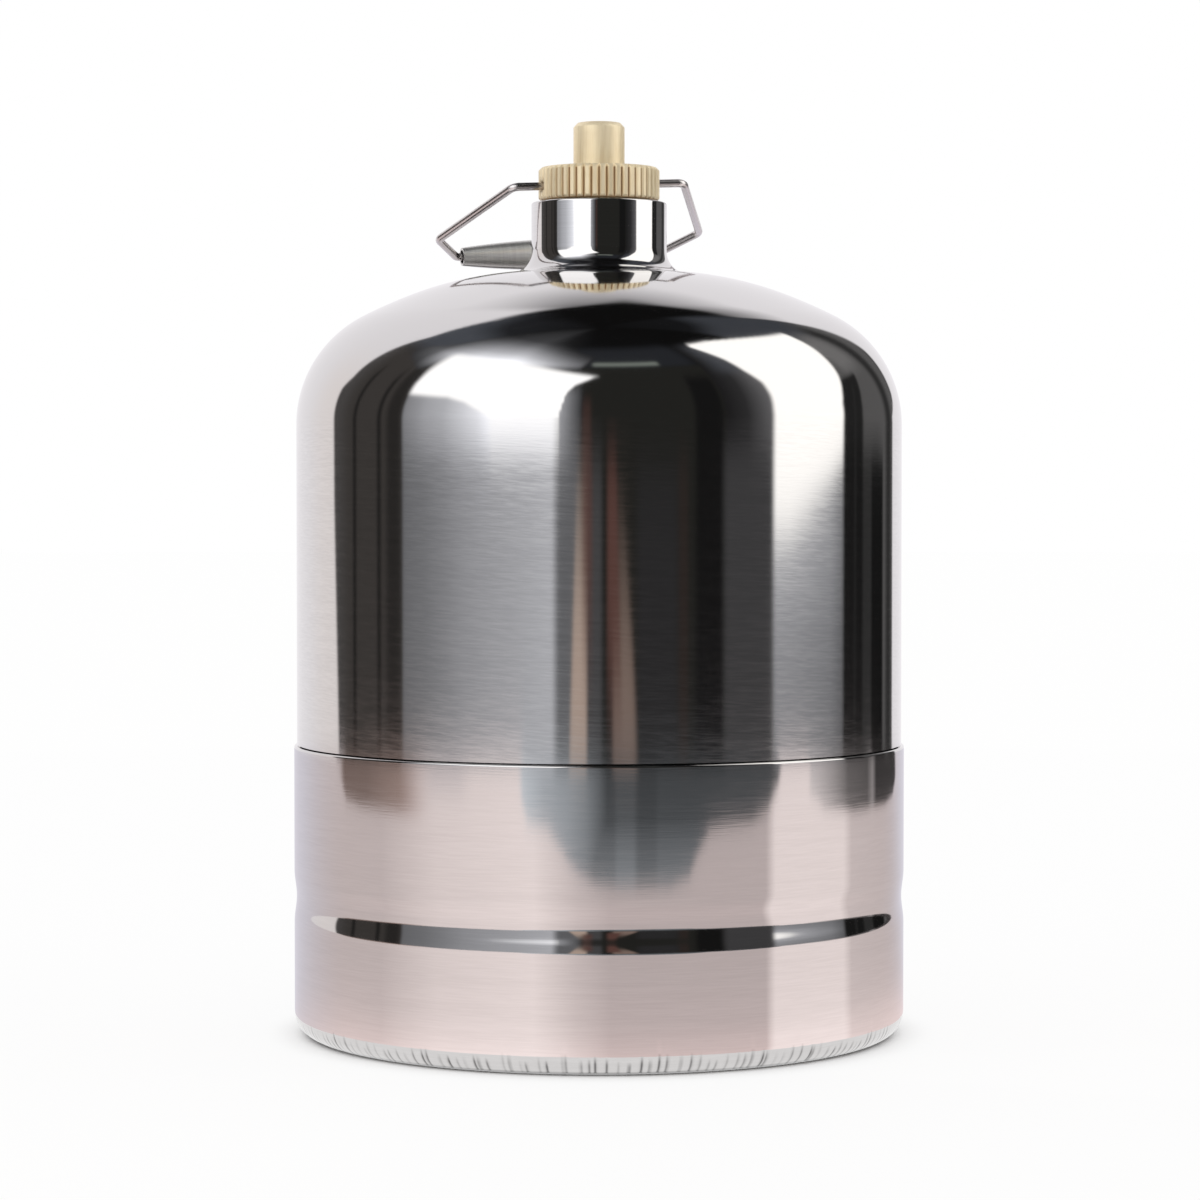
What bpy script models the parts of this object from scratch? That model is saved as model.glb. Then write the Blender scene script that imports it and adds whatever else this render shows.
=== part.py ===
"""Refillable gas canister.

A stainless pressure vessel in three pressings, a turned neck collar that holds a
brass valve, a knurled dust cap on the valve's nipple, and a wire bail with a
barrel grip hinged in the cap. Metres, +Z up, origin at the centre of the
standing face.
"""
import math

import bmesh
import bpy
from mathutils import Matrix, Vector

MM = 0.001

# Clearances
GAP = 0.3 * MM                    # between neighbours that touch on the real canister
STEM_CLEARANCE = 0.4 * MM         # round the valve pin's stem
GAS_WAY = 0.6 * MM                # round the valve pin's head
SPRING_CLEARANCE = 0.85 * MM      # inside and outside the spring's coil

# Upper shell: wall, domed shoulder and pulled neck
BODY_RADIUS = 55.0 * MM
SHELL_WALL = 1.2 * MM
SHOULDER_HEIGHT = 110.4 * MM      # where the straight wall turns into the knuckle
KNUCKLE_RADIUS = 22.0 * MM
CROWN_RADIUS = 95.0 * MM
TOP_REACH = 34.0 * MM             # radius inside which the crown flattens towards the neck
TOP_RADIUS = 62.0 * MM
NECK_FILLET = 4.2 * MM            # sweep from the dome up into the neck

# Lap joint between the upper shell and the lower cup
SEAM_HEIGHT = 52.4 * MM
LAP_LENGTH = 8.0 * MM
JOGGLE_HEIGHT = 0.7 * MM          # height over which the shell steps in
JOGGLE_LIFT = 0.2 * MM            # the step's foot above the cup's rim
JOGGLE_DROP = 0.5 * MM            # the step inside the shell lies this much lower

# Lower cup
CUP_PROUD = 0.5 * MM              # how far the cup stands out from the shell
CUP_WALL = 1.2 * MM
RIM_ROUND = 0.4 * MM
BEAD_HEIGHT = 25.4 * MM           # middle of the rolled-in groove
BEAD_HALF_WIDTH = 4.0 * MM
BEAD_DEPTH = 0.6 * MM
CORNER_RADIUS = 4.0 * MM
FOOT_WIDTH = 3.0 * MM             # flat ring that the canister stands on

# Base dish, held between the foot and the bead
DISH_WALL = 1.2 * MM
DISH_FLAT = 5.0 * MM              # flat rim over the foot
DISH_TURN_RADIUS = 4.0 * MM
DISH_CROWN_RADIUS = 110.0 * MM

# Neck collar
COLLAR_RADIUS = 12.3 * MM
COLLAR_HEIGHT = 8.67 * MM         # above the pulled neck
COLLAR_EDGE = 0.4 * MM
SPIGOT_LENGTH = 5.6 * MM          # part of the collar inside the pulled neck
COUNTERBORE_DEPTH = 3.4 * MM

# Valve body
SHANK_RADIUS = 6.9 * MM
FLANGE_RADIUS = 8.7 * MM
FLANGE_THICKNESS = 1.4 * MM
GASKET_SECTION = 1.2 * MM         # thickness of the round seal under the flange
NIPPLE_RADIUS = 5.56 * MM         # 7/16 inch thread
NIPPLE_HEIGHT = 4.3 * MM
NIPPLE_CHAMFER = 0.4 * MM
UNDERCUT_DEPTH = 0.55 * MM
UNDERCUT_HEIGHT = 0.7 * MM
SOCKET_RADIUS = 2.4 * MM
SOCKET_DEPTH = 6.3 * MM
WEB_THICKNESS = 1.6 * MM          # wall between the socket and the spring chamber

# Valve pin, its seal, spring and retainer
STEM_RADIUS = 1.0 * MM
PIN_RECESS = 3.3 * MM             # from the nipple's mouth down to the pin's tip
SEAL_THICKNESS = 1.2 * MM
SEAL_OVERHANG = 0.2 * MM
HEAD_RADIUS = 3.0 * MM
HEAD_THICKNESS = 1.8 * MM
GUIDE_LENGTH = 4.0 * MM           # pin's tail inside the spring
PIN_CHAMFER = 0.3 * MM
SPRING_WIRE = 0.6 * MM
SPRING_LENGTH = 7.8 * MM
SPRING_TURNS = 7
RETAINER_THICKNESS = 1.7 * MM
RETAINER_BORE = 1.1 * MM
SLOT_WIDTH = 1.0 * MM
SLOT_DEPTH = 0.7 * MM

# Dust cap
CAP_RADIUS = 11.0 * MM            # over the crests of the knurl
KNURL_TEETH = 48
KNURL_DEPTH = 0.5 * MM
KNURL_CHAMFER = 0.5 * MM
CAP_WEB = 0.9 * MM                # roof of the threaded bore
BOSS_RADIUS = 4.65 * MM
BOSS_HEIGHT = 8.2 * MM
BOSS_CHAMFER = 0.8 * MM
WASHER_THICKNESS = 0.7 * MM
PIVOT_HOLE_WALL = 1.4 * MM        # metal left between a pivot hole and the bore

# Bail: a wire loop whose ends turn in the cap, drawn flat before it is hinged
WIRE_RADIUS = 0.75 * MM
CAP_TURN = math.radians(17.0)     # how far the cap is screwed round from square
PIVOT_SLOPE = math.radians(2.7)   # the pivot line rises to the right, as drilled
BAIL_FALL = math.radians(21.8)    # how far the bail lies below the pivot line
ARM_SPREAD = 16.2 * MM            # half width where the ends turn outwards
WIDE_SPREAD = 25.5 * MM           # half width at the bail's shoulders
WIDE_REACH = 21.2 * MM
GRIP_SPREAD = 20.3 * MM           # half width of the straight run under the grip
GRIP_REACH = 29.0 * MM
ARM_BEND = 1.8 * MM
SHOULDER_BEND = 1.8 * MM
GRIP_BEND = 1.2 * MM

# Grip: a barrel rolled from sheet, loose on the wire
GRIP_HALF_LENGTH = 19.2 * MM
GRIP_MID_RADIUS = 2.9 * MM
GRIP_END_RADIUS = 1.7 * MM
GRIP_WALL = 0.5 * MM

# Sides of the turned pieces
BODY_SIDES = 48
NECK_SIDES = 40
VALVE_SIDES = 28
SMALL_SIDES = 20

# Levels and radii that follow from the sizes above
CUP_RADIUS = BODY_RADIUS + CUP_PROUD
CUP_BORE = CUP_RADIUS - CUP_WALL
LAP_RADIUS = CUP_BORE - GAP
KNUCKLE_CENTRE = BODY_RADIUS - KNUCKLE_RADIUS
CROWN_CENTRE = SHOULDER_HEIGHT - math.sqrt(
    (CROWN_RADIUS - KNUCKLE_RADIUS) ** 2 - KNUCKLE_CENTRE ** 2)
KNUCKLE_ANGLE = math.acos(KNUCKLE_CENTRE / (CROWN_RADIUS - KNUCKLE_RADIUS))
TOP_ANGLE = math.acos(TOP_REACH / CROWN_RADIUS)
TOP_CENTRE_R = (CROWN_RADIUS - TOP_RADIUS) * math.cos(TOP_ANGLE)
TOP_CENTRE_Z = CROWN_CENTRE + (CROWN_RADIUS - TOP_RADIUS) * math.sin(TOP_ANGLE)
SWEEP_CENTRE = COLLAR_RADIUS + NECK_FILLET
NECK_ANGLE = math.acos((SWEEP_CENTRE - TOP_CENTRE_R) / (TOP_RADIUS + NECK_FILLET))
NECK_TOP = TOP_CENTRE_Z + (TOP_RADIUS + NECK_FILLET) * math.sin(NECK_ANGLE)
NECK_BORE = COLLAR_RADIUS - SHELL_WALL

COLLAR_TOP = NECK_TOP + COLLAR_HEIGHT
COUNTERBORE_FLOOR = COLLAR_TOP - COUNTERBORE_DEPTH
COUNTERBORE_RADIUS = FLANGE_RADIUS + GAP
COLLAR_BORE = SHANK_RADIUS + GAP

GASKET_RADIUS = SHANK_RADIUS + GAP + GASKET_SECTION / 2
GASKET_LEVEL = COUNTERBORE_FLOOR + GAP + GASKET_SECTION / 2
FLANGE_BOTTOM = GASKET_LEVEL + GASKET_SECTION / 2 + GAP
FLANGE_TOP = FLANGE_BOTTOM + FLANGE_THICKNESS
NIPPLE_TOP = FLANGE_TOP + NIPPLE_HEIGHT
WEB_TOP = NIPPLE_TOP - SOCKET_DEPTH
CHAMBER_ROOF = WEB_TOP - WEB_THICKNESS
CHAMBER_RADIUS = HEAD_RADIUS + GAS_WAY
STEM_BORE = STEM_RADIUS + STEM_CLEARANCE

PIN_TOP = NIPPLE_TOP - PIN_RECESS
SEAL_TOP = CHAMBER_ROOF - GAP
HEAD_TOP = SEAL_TOP - SEAL_THICKNESS - GAP
HEAD_BOTTOM = HEAD_TOP - HEAD_THICKNESS
SPRING_TOP = HEAD_BOTTOM - GAP
SPRING_BOTTOM = SPRING_TOP - SPRING_LENGTH
SPRING_RADIUS = CHAMBER_RADIUS - SPRING_CLEARANCE - SPRING_WIRE / 2
GUIDE_RADIUS = SPRING_RADIUS - SPRING_WIRE / 2 - SPRING_CLEARANCE
RETAINER_TOP = SPRING_BOTTOM - GAP
RETAINER_BOTTOM = RETAINER_TOP - RETAINER_THICKNESS
VALVE_BOTTOM = RETAINER_BOTTOM - GAP

CAP_BOTTOM = COLLAR_TOP + GAP
CAP_BORE = NIPPLE_RADIUS + GAP
WASHER_BOTTOM = NIPPLE_TOP + GAP
CAP_ROOF = WASHER_BOTTOM + WASHER_THICKNESS + GAP
CAP_TOP = CAP_ROOF + CAP_WEB
BOSS_TOP = CAP_TOP + BOSS_HEIGHT
PIVOT_HEIGHT = (CAP_BOTTOM + CAP_TOP) / 2
PIVOT_HOLE = WIRE_RADIUS + GAP
PIVOT_HOLE_END = CAP_BORE + PIVOT_HOLE_WALL


def finish(name, colour, metallic, roughness):
    """A Principled material."""
    material = bpy.data.materials.new(name)
    material.use_nodes = True
    shader = material.node_tree.nodes["Principled BSDF"]
    shader.inputs["Base Color"].default_value = (*colour, 1.0)
    shader.inputs["Metallic"].default_value = metallic
    shader.inputs["Roughness"].default_value = roughness
    material.diffuse_color = (*colour, 1.0)
    return material


def add_object(name, data, material):
    """Link one named object with its own material into the scene."""
    obj = bpy.data.objects.new(name, data)
    obj.data.materials.append(material)
    bpy.context.scene.collection.objects.link(obj)
    return obj


def shade(mesh, angle=35.0):
    """Smooth shading that keeps the real edges sharp."""
    mesh.shade_smooth()
    mesh.set_sharp_from_angle(angle=math.radians(angle))


def arc(centre_r, centre_z, radius, start, end, steps):
    """Points on an arc in the half plane of a turned outline, both ends included."""
    points = []
    for i in range(steps + 1):
        angle = start + (end - start) * i / steps
        points.append((centre_r + radius * math.cos(angle), centre_z + radius * math.sin(angle)))
    return points


def turned(name, outline, sides, material):
    """Spin an outline of (radius, height) points about Z into a closed solid.

    An outline that starts and ends on the axis gives a solid of revolution, and
    any other is closed on itself and gives a ring.
    """
    bm = bmesh.new()
    verts = [bm.verts.new((r, 0.0, z)) for r, z in outline]
    on_axis = outline[0][0] == 0.0 and outline[-1][0] == 0.0
    pairs = list(zip(verts, verts[1:]))
    if not on_axis:
        pairs.append((verts[-1], verts[0]))
    edges = [bm.edges.new(pair) for pair in pairs]
    bmesh.ops.spin(bm, geom=verts + edges, cent=(0, 0, 0), axis=(0, 0, 1),
                   angle=2 * math.pi, steps=sides, use_merge=True)
    bmesh.ops.remove_doubles(bm, verts=bm.verts, dist=0.001 * MM)
    bmesh.ops.recalc_face_normals(bm, faces=bm.faces)
    mesh = bpy.data.meshes.new(name)
    bm.to_mesh(mesh)
    bm.free()
    shade(mesh)
    return add_object(name, mesh, material)


def lofted(name, outlines, material):
    """Join outlines of equally many points into a solid with flat ends."""
    bm = bmesh.new()
    loops = [[bm.verts.new(point) for point in outline] for outline in outlines]
    for low, high in zip(loops, loops[1:]):
        for i in range(len(low)):
            j = (i + 1) % len(low)
            bm.faces.new((low[i], low[j], high[j], high[i]))
    bm.faces.new(reversed(loops[0]))
    bm.faces.new(loops[-1])
    bmesh.ops.recalc_face_normals(bm, faces=bm.faces)
    mesh = bpy.data.meshes.new(name)
    bm.to_mesh(mesh)
    bm.free()
    shade(mesh)
    return add_object(name, mesh, material)


def swept(name, points, radius, resolution, material):
    """A round wire along a line of points, with filled ends."""
    curve = bpy.data.curves.new(name, "CURVE")
    curve.dimensions = "3D"
    curve.bevel_depth = radius
    curve.bevel_resolution = resolution
    curve.use_fill_caps = True
    spline = curve.splines.new("POLY")
    spline.points.add(len(points) - 1)
    for target, point in zip(spline.points, points):
        target.co = (*point, 1.0)
    return add_object(name, curve, material)


def combine(obj, tool, operation):
    """Add, or cut away, a tool that stays out of the model itself."""
    tool.hide_render = True
    tool.display_type = "WIRE"
    modifier = obj.modifiers.new(tool.name, "BOOLEAN")
    modifier.operation = operation
    modifier.object = tool


def rounded(corners, radii, steps):
    """A flat line through corners, each but the ends replaced by an arc."""
    points = [Vector(corners[0])]
    for i, radius in enumerate(radii, start=1):
        before = (Vector(corners[i - 1]) - Vector(corners[i])).normalized()
        after = (Vector(corners[i + 1]) - Vector(corners[i])).normalized()
        half = before.angle(after) / 2
        middle = (before + after).normalized()
        centre = Vector(corners[i]) + middle * (radius / math.sin(half))
        reach = math.pi / 2 - half
        across = (after - before).normalized()
        for k in range(steps + 1):
            angle = -reach + 2 * reach * k / steps
            points.append(centre + radius * (across * math.sin(angle) - middle * math.cos(angle)))
    points.append(Vector(corners[-1]))
    return points


def bead_points(radius, upwards, steps=6):
    """The rolled groove's dent in a wall of the given radius."""
    points = []
    for i in range(steps + 1):
        share = -1 + 2 * i / steps
        dent = BEAD_DEPTH * (1 + math.cos(math.pi * share)) / 2
        points.append((radius - dent, BEAD_HEIGHT + BEAD_HALF_WIDTH * share))
    return points if upwards else points[::-1]


def make_upper_shell(material):
    """Straight wall, knuckle, crown and pulled neck, stepped in below for the lap."""
    step_foot = SEAM_HEIGHT + JOGGLE_LIFT
    sweep_end = math.pi + NECK_ANGLE
    outline = [(LAP_RADIUS, SEAM_HEIGHT - LAP_LENGTH), (LAP_RADIUS, step_foot),
               (BODY_RADIUS, step_foot + JOGGLE_HEIGHT)]
    outline += arc(KNUCKLE_CENTRE, SHOULDER_HEIGHT, KNUCKLE_RADIUS, 0, KNUCKLE_ANGLE, 7)
    outline += arc(0, CROWN_CENTRE, CROWN_RADIUS, KNUCKLE_ANGLE, TOP_ANGLE, 2)[1:]
    outline += arc(TOP_CENTRE_R, TOP_CENTRE_Z, TOP_RADIUS, TOP_ANGLE, NECK_ANGLE, 3)[1:]
    outline += arc(SWEEP_CENTRE, NECK_TOP, NECK_FILLET, sweep_end, math.pi, 4)[1:]
    outline += arc(SWEEP_CENTRE, NECK_TOP, NECK_FILLET + SHELL_WALL, math.pi, sweep_end, 3)
    outline += arc(TOP_CENTRE_R, TOP_CENTRE_Z, TOP_RADIUS - SHELL_WALL, NECK_ANGLE, TOP_ANGLE, 2)[1:]
    outline += arc(0, CROWN_CENTRE, CROWN_RADIUS - SHELL_WALL, TOP_ANGLE, KNUCKLE_ANGLE, 1)[1:]
    outline += arc(KNUCKLE_CENTRE, SHOULDER_HEIGHT, KNUCKLE_RADIUS - SHELL_WALL,
                   KNUCKLE_ANGLE, 0, 4)[1:]
    outline += [(BODY_RADIUS - SHELL_WALL, step_foot + JOGGLE_HEIGHT - JOGGLE_DROP),
                (LAP_RADIUS - SHELL_WALL, step_foot - JOGGLE_DROP),
                (LAP_RADIUS - SHELL_WALL, SEAM_HEIGHT - LAP_LENGTH)]
    return turned("upper_shell", outline, BODY_SIDES, material)


def make_lower_cup(material):
    """Sleeve with a rolled bead, its bottom edge turned in to form the foot."""
    corner = CUP_RADIUS - CORNER_RADIUS
    foot = corner - FOOT_WIDTH
    outline = [(CUP_RADIUS - RIM_ROUND, SEAM_HEIGHT), (CUP_RADIUS, SEAM_HEIGHT - RIM_ROUND)]
    outline += bead_points(CUP_RADIUS, upwards=False)
    outline += arc(corner, CORNER_RADIUS, CORNER_RADIUS, 0, -math.pi / 2, 5)
    outline += [(foot, 0.0), (foot, CUP_WALL)]
    outline += arc(corner, CORNER_RADIUS, CORNER_RADIUS - CUP_WALL, -math.pi / 2, 0, 3)
    outline += bead_points(CUP_BORE, upwards=True, steps=4)
    outline += [(CUP_BORE, SEAM_HEIGHT)]
    return turned("lower_cup", outline, BODY_SIDES, material)


def make_base_dish(material):
    """Inward-domed end: a skirt inside the cup, a flat rim on the foot and a crown."""
    corner = CUP_RADIUS - CORNER_RADIUS
    corner_radius = CORNER_RADIUS - CUP_WALL - GAP
    skirt = CUP_BORE - GAP
    skirt_top = BEAD_HEIGHT - BEAD_HALF_WIDTH - GAP
    turn = corner - DISH_FLAT
    turn_level = CUP_WALL + GAP + DISH_TURN_RADIUS
    slope = math.asin(turn / (DISH_CROWN_RADIUS + DISH_TURN_RADIUS))
    crown = turn_level - (DISH_CROWN_RADIUS + DISH_TURN_RADIUS) * math.cos(slope)
    down = -math.pi / 2
    up = math.pi / 2
    outline = arc(0, crown, DISH_CROWN_RADIUS, up, up - slope, 4)
    outline[0] = (0.0, outline[0][1])
    outline += arc(turn, turn_level, DISH_TURN_RADIUS, down - slope, down, 2)[1:]
    outline += arc(corner, CORNER_RADIUS, corner_radius, down, 0, 3)
    outline += [(skirt, skirt_top), (skirt - DISH_WALL, skirt_top)]
    outline += arc(corner, CORNER_RADIUS, corner_radius - DISH_WALL, 0, down, 3)
    outline += arc(turn, turn_level, DISH_TURN_RADIUS - DISH_WALL, down, down - slope, 2)
    outline += arc(0, crown, DISH_CROWN_RADIUS + DISH_WALL, up - slope, up, 3)[1:]
    outline[-1] = (0.0, outline[-1][1])
    return turned("base_dish", outline, BODY_SIDES, material)


def make_neck_collar(material):
    """Turned collar on the pulled neck, with a spigot inside the neck."""
    spigot = NECK_BORE - GAP
    shoulder = NECK_TOP + GAP
    spigot_end = shoulder - SPIGOT_LENGTH
    outline = [(COLLAR_BORE, spigot_end), (spigot - COLLAR_EDGE, spigot_end),
               (spigot, spigot_end + COLLAR_EDGE), (spigot, shoulder), (COLLAR_RADIUS, shoulder)]
    outline += arc(COLLAR_RADIUS - COLLAR_EDGE, COLLAR_TOP - COLLAR_EDGE, COLLAR_EDGE,
                   0, math.pi / 2, 2)
    outline += [(COUNTERBORE_RADIUS, COLLAR_TOP), (COUNTERBORE_RADIUS, COUNTERBORE_FLOOR),
                (COLLAR_BORE, COUNTERBORE_FLOOR)]
    return turned("neck_collar", outline, NECK_SIDES, material)


def make_valve_body(material):
    """Brass insert: shank in the collar, flange, threaded nipple and its bores."""
    root = NIPPLE_RADIUS - UNDERCUT_DEPTH
    relief = FLANGE_TOP + UNDERCUT_HEIGHT
    outline = [(CHAMBER_RADIUS, VALVE_BOTTOM), (SHANK_RADIUS - NIPPLE_CHAMFER, VALVE_BOTTOM),
               (SHANK_RADIUS, VALVE_BOTTOM + NIPPLE_CHAMFER), (SHANK_RADIUS, FLANGE_BOTTOM),
               (FLANGE_RADIUS, FLANGE_BOTTOM), (FLANGE_RADIUS, FLANGE_TOP),
               (root, FLANGE_TOP), (root, relief), (NIPPLE_RADIUS, relief + UNDERCUT_DEPTH),
               (NIPPLE_RADIUS, NIPPLE_TOP - NIPPLE_CHAMFER),
               (NIPPLE_RADIUS - NIPPLE_CHAMFER, NIPPLE_TOP),
               (SOCKET_RADIUS + NIPPLE_CHAMFER, NIPPLE_TOP),
               (SOCKET_RADIUS, NIPPLE_TOP - NIPPLE_CHAMFER), (SOCKET_RADIUS, WEB_TOP),
               (STEM_BORE, WEB_TOP), (STEM_BORE, CHAMBER_ROOF), (CHAMBER_RADIUS, CHAMBER_ROOF)]
    return turned("valve_body", outline, VALVE_SIDES, material)


def make_body_gasket(material):
    """Round-section ring between the valve's flange and the collar."""
    section = arc(GASKET_RADIUS, GASKET_LEVEL, GASKET_SECTION / 2, 0, 2 * math.pi, 6)[:-1]
    return turned("body_gasket", section, VALVE_SIDES, material)


def make_valve_pin(material):
    """Spring-loaded pin: tip in the socket, sealing head and a tail in the spring."""
    tail_end = HEAD_BOTTOM - GUIDE_LENGTH
    outline = [(0.0, tail_end), (GUIDE_RADIUS - PIN_CHAMFER, tail_end),
               (GUIDE_RADIUS, tail_end + PIN_CHAMFER), (GUIDE_RADIUS, HEAD_BOTTOM),
               (HEAD_RADIUS, HEAD_BOTTOM), (HEAD_RADIUS, HEAD_TOP), (STEM_RADIUS, HEAD_TOP),
               (STEM_RADIUS, PIN_TOP - PIN_CHAMFER), (STEM_RADIUS - PIN_CHAMFER, PIN_TOP),
               (0.0, PIN_TOP)]
    return turned("valve_pin", outline, SMALL_SIDES, material)


def make_stem_seal(material):
    """Flat rubber washer that the pin's head presses against the web."""
    inner = STEM_RADIUS + GAP
    outer = HEAD_RADIUS + SEAL_OVERHANG
    bottom = SEAL_TOP - SEAL_THICKNESS
    outline = [(inner, bottom), (outer, bottom), (outer, SEAL_TOP), (inner, SEAL_TOP)]
    return turned("stem_seal", outline, SMALL_SIDES, material)


def make_valve_spring(material):
    """Compression spring wound from one wire, between the retainer and the pin."""
    points_per_turn = 9
    rise = SPRING_LENGTH - SPRING_WIRE
    count = SPRING_TURNS * points_per_turn
    points = []
    for i in range(count + 1):
        angle = 2 * math.pi * i / points_per_turn
        height = SPRING_BOTTOM + SPRING_WIRE / 2 + rise * i / count
        points.append((SPRING_RADIUS * math.cos(angle), SPRING_RADIUS * math.sin(angle), height))
    apart = [(Vector(points[i]) - Vector(points[j])).length
             for i in range(count + 1) for j in range(i + points_per_turn // 2, count + 1)]
    print("valve_spring least gap between turns, mm: %.2f" % ((min(apart) - SPRING_WIRE) / MM))
    return swept("valve_spring", points, SPRING_WIRE / 2, 1, material)


def make_spring_retainer(material):
    """Bored plug under the spring, slotted for a driver."""
    radius = CHAMBER_RADIUS - GAP
    outline = [(RETAINER_BORE, RETAINER_BOTTOM), (radius, RETAINER_BOTTOM),
               (radius, RETAINER_TOP), (RETAINER_BORE, RETAINER_TOP)]
    plug = turned("spring_retainer", outline, SMALL_SIDES, material)
    bm = bmesh.new()
    shape = Matrix.Translation((0, 0, RETAINER_BOTTOM)) @ Matrix.Diagonal(
        (3 * radius, SLOT_WIDTH, 2 * SLOT_DEPTH, 1))
    bmesh.ops.create_cube(bm, size=1.0, matrix=shape)
    mesh = bpy.data.meshes.new("driver_slot")
    bm.to_mesh(mesh)
    bm.free()
    combine(plug, add_object("driver_slot", mesh, material), "DIFFERENCE")
    return plug


def knurl_outline(level, limit):
    """The cap's knurled outline at one level, with crests no higher than limit."""
    crest = CAP_RADIUS
    root = CAP_RADIUS - KNURL_DEPTH
    shoulder = CAP_RADIUS - 0.2 * KNURL_DEPTH
    tooth = ((-0.5, root), (-0.2, shoulder), (0.0, crest), (0.2, shoulder))
    points = []
    for i in range(KNURL_TEETH):
        for share, radius in tooth:
            angle = 2 * math.pi * (i + share) / KNURL_TEETH
            radius = min(radius, limit)
            points.append((radius * math.cos(angle), radius * math.sin(angle), level))
    return points


def make_dust_cap(material):
    """Knurled ring with a boss above, a threaded bore and two pivot holes."""
    low = CAP_RADIUS - KNURL_CHAMFER
    outlines = [knurl_outline(CAP_BOTTOM, low), knurl_outline(CAP_BOTTOM + KNURL_CHAMFER, CAP_RADIUS),
                knurl_outline(CAP_TOP - KNURL_CHAMFER, CAP_RADIUS), knurl_outline(CAP_TOP, low)]
    cap = lofted("dust_cap", outlines, material)
    buried = CAP_TOP - CAP_WEB / 2
    boss = [(0.0, buried), (BOSS_RADIUS, buried), (BOSS_RADIUS, BOSS_TOP - BOSS_CHAMFER),
            (BOSS_RADIUS - BOSS_CHAMFER, BOSS_TOP), (0.0, BOSS_TOP)]
    combine(cap, turned("cap_boss", boss, NECK_SIDES, material), "UNION")
    mouth = CAP_BORE + NIPPLE_CHAMFER
    below = CAP_BOTTOM - GAP
    bore = [(0.0, below), (mouth + GAP, below), (CAP_BORE, CAP_BOTTOM + NIPPLE_CHAMFER),
            (CAP_BORE, CAP_ROOF), (0.0, CAP_ROOF)]
    combine(cap, turned("cap_bore", bore, NECK_SIDES, material), "DIFFERENCE")
    for side, direction in (("left", -1), ("right", 1)):
        drill = [(0.0, PIVOT_HOLE_END), (PIVOT_HOLE, PIVOT_HOLE_END),
                 (PIVOT_HOLE, 1.5 * CAP_RADIUS), (0.0, 1.5 * CAP_RADIUS)]
        tool = turned("pivot_hole_" + side, drill, SMALL_SIDES, material)
        along = Matrix.Rotation(direction * math.pi / 2, 4, "Y")
        tool.matrix_world = pivot_frame() @ along
        combine(cap, tool, "DIFFERENCE")
    return cap


def make_cap_washer(material):
    """Rubber disc in the cap's roof that closes the nipple."""
    radius = CAP_BORE - GAP
    top = WASHER_BOTTOM + WASHER_THICKNESS
    outline = [(0.0, WASHER_BOTTOM), (radius, WASHER_BOTTOM), (radius, top), (0.0, top)]
    return turned("cap_washer", outline, VALVE_SIDES, material)


def pivot_frame():
    """Frame of the pivot line: X along it to the right, Y square to it, level, to the back."""
    turn = Matrix.Rotation(CAP_TURN, 4, "Z")
    slope = Matrix.Rotation(-PIVOT_SLOPE, 4, "Y")
    return Matrix.Translation((0, 0, PIVOT_HEIGHT)) @ turn @ slope


def make_bail(wire_material, grip_material):
    """Wire loop on the pivot line, and the barrel grip that turns on its far run."""
    pivot = bpy.data.objects.new("bail_pivot", None)
    bpy.context.scene.collection.objects.link(pivot)
    pivot.matrix_world = pivot_frame() @ Matrix.Rotation(-BAIL_FALL, 4, "X")

    end = (PIVOT_HOLE_END + GAP, 0.0, 0.0)
    right = [end, (ARM_SPREAD, 0.0, 0.0), (WIDE_SPREAD, WIDE_REACH, 0.0),
             (GRIP_SPREAD, GRIP_REACH, 0.0)]
    left = [(-x, y, z) for x, y, z in reversed(right)]
    bends = [ARM_BEND, SHOULDER_BEND, GRIP_BEND]
    points = rounded(right + left, bends + bends[::-1], 4)
    wire = swept("bail_wire", points, WIRE_RADIUS, 2, wire_material)
    wire.parent = pivot

    outer = []
    inner = []
    steps = 8
    for i in range(steps + 1):
        share = -1 + 2 * i / steps
        radius = GRIP_MID_RADIUS - (GRIP_MID_RADIUS - GRIP_END_RADIUS) * share ** 2
        outer.append((radius, GRIP_HALF_LENGTH * share))
        inner.append((radius - GRIP_WALL, GRIP_HALF_LENGTH * share))
    grip = turned("bail_grip", outer + inner[::-1], SMALL_SIDES, grip_material)
    grip.parent = pivot
    grip.location = (0.0, GRIP_REACH, 0.0)
    grip.rotation_euler = (0.0, math.pi / 2, 0.0)
    return wire, grip


def build():
    for obj in list(bpy.data.objects):
        bpy.data.objects.remove(obj, do_unlink=True)

    make_upper_shell(finish("brushed_shell", (0.62, 0.60, 0.58), 1.0, 0.22))
    make_lower_cup(finish("satin_cup", (0.66, 0.63, 0.61), 1.0, 0.30))
    make_base_dish(finish("pressed_base", (0.60, 0.58, 0.56), 1.0, 0.35))
    make_neck_collar(finish("polished_collar", (0.70, 0.69, 0.68), 1.0, 0.08))
    make_valve_body(finish("valve_brass", (0.80, 0.62, 0.32), 1.0, 0.25))
    make_body_gasket(finish("gasket_rubber", (0.03, 0.03, 0.03), 0.0, 0.60))
    make_valve_pin(finish("pin_brass", (0.78, 0.60, 0.31), 1.0, 0.22))
    make_stem_seal(finish("seal_rubber", (0.04, 0.04, 0.04), 0.0, 0.65))
    make_valve_spring(finish("spring_steel", (0.60, 0.60, 0.61), 1.0, 0.25))
    make_spring_retainer(finish("retainer_brass", (0.76, 0.58, 0.30), 1.0, 0.30))
    make_dust_cap(finish("cap_brass", (0.84, 0.67, 0.38), 1.0, 0.30))
    make_cap_washer(finish("washer_rubber", (0.05, 0.05, 0.05), 0.0, 0.60))
    make_bail(finish("bail_steel", (0.64, 0.62, 0.61), 1.0, 0.20),
              finish("grip_steel", (0.42, 0.42, 0.38), 1.0, 0.28))
    bpy.context.view_layer.update()


build()
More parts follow.
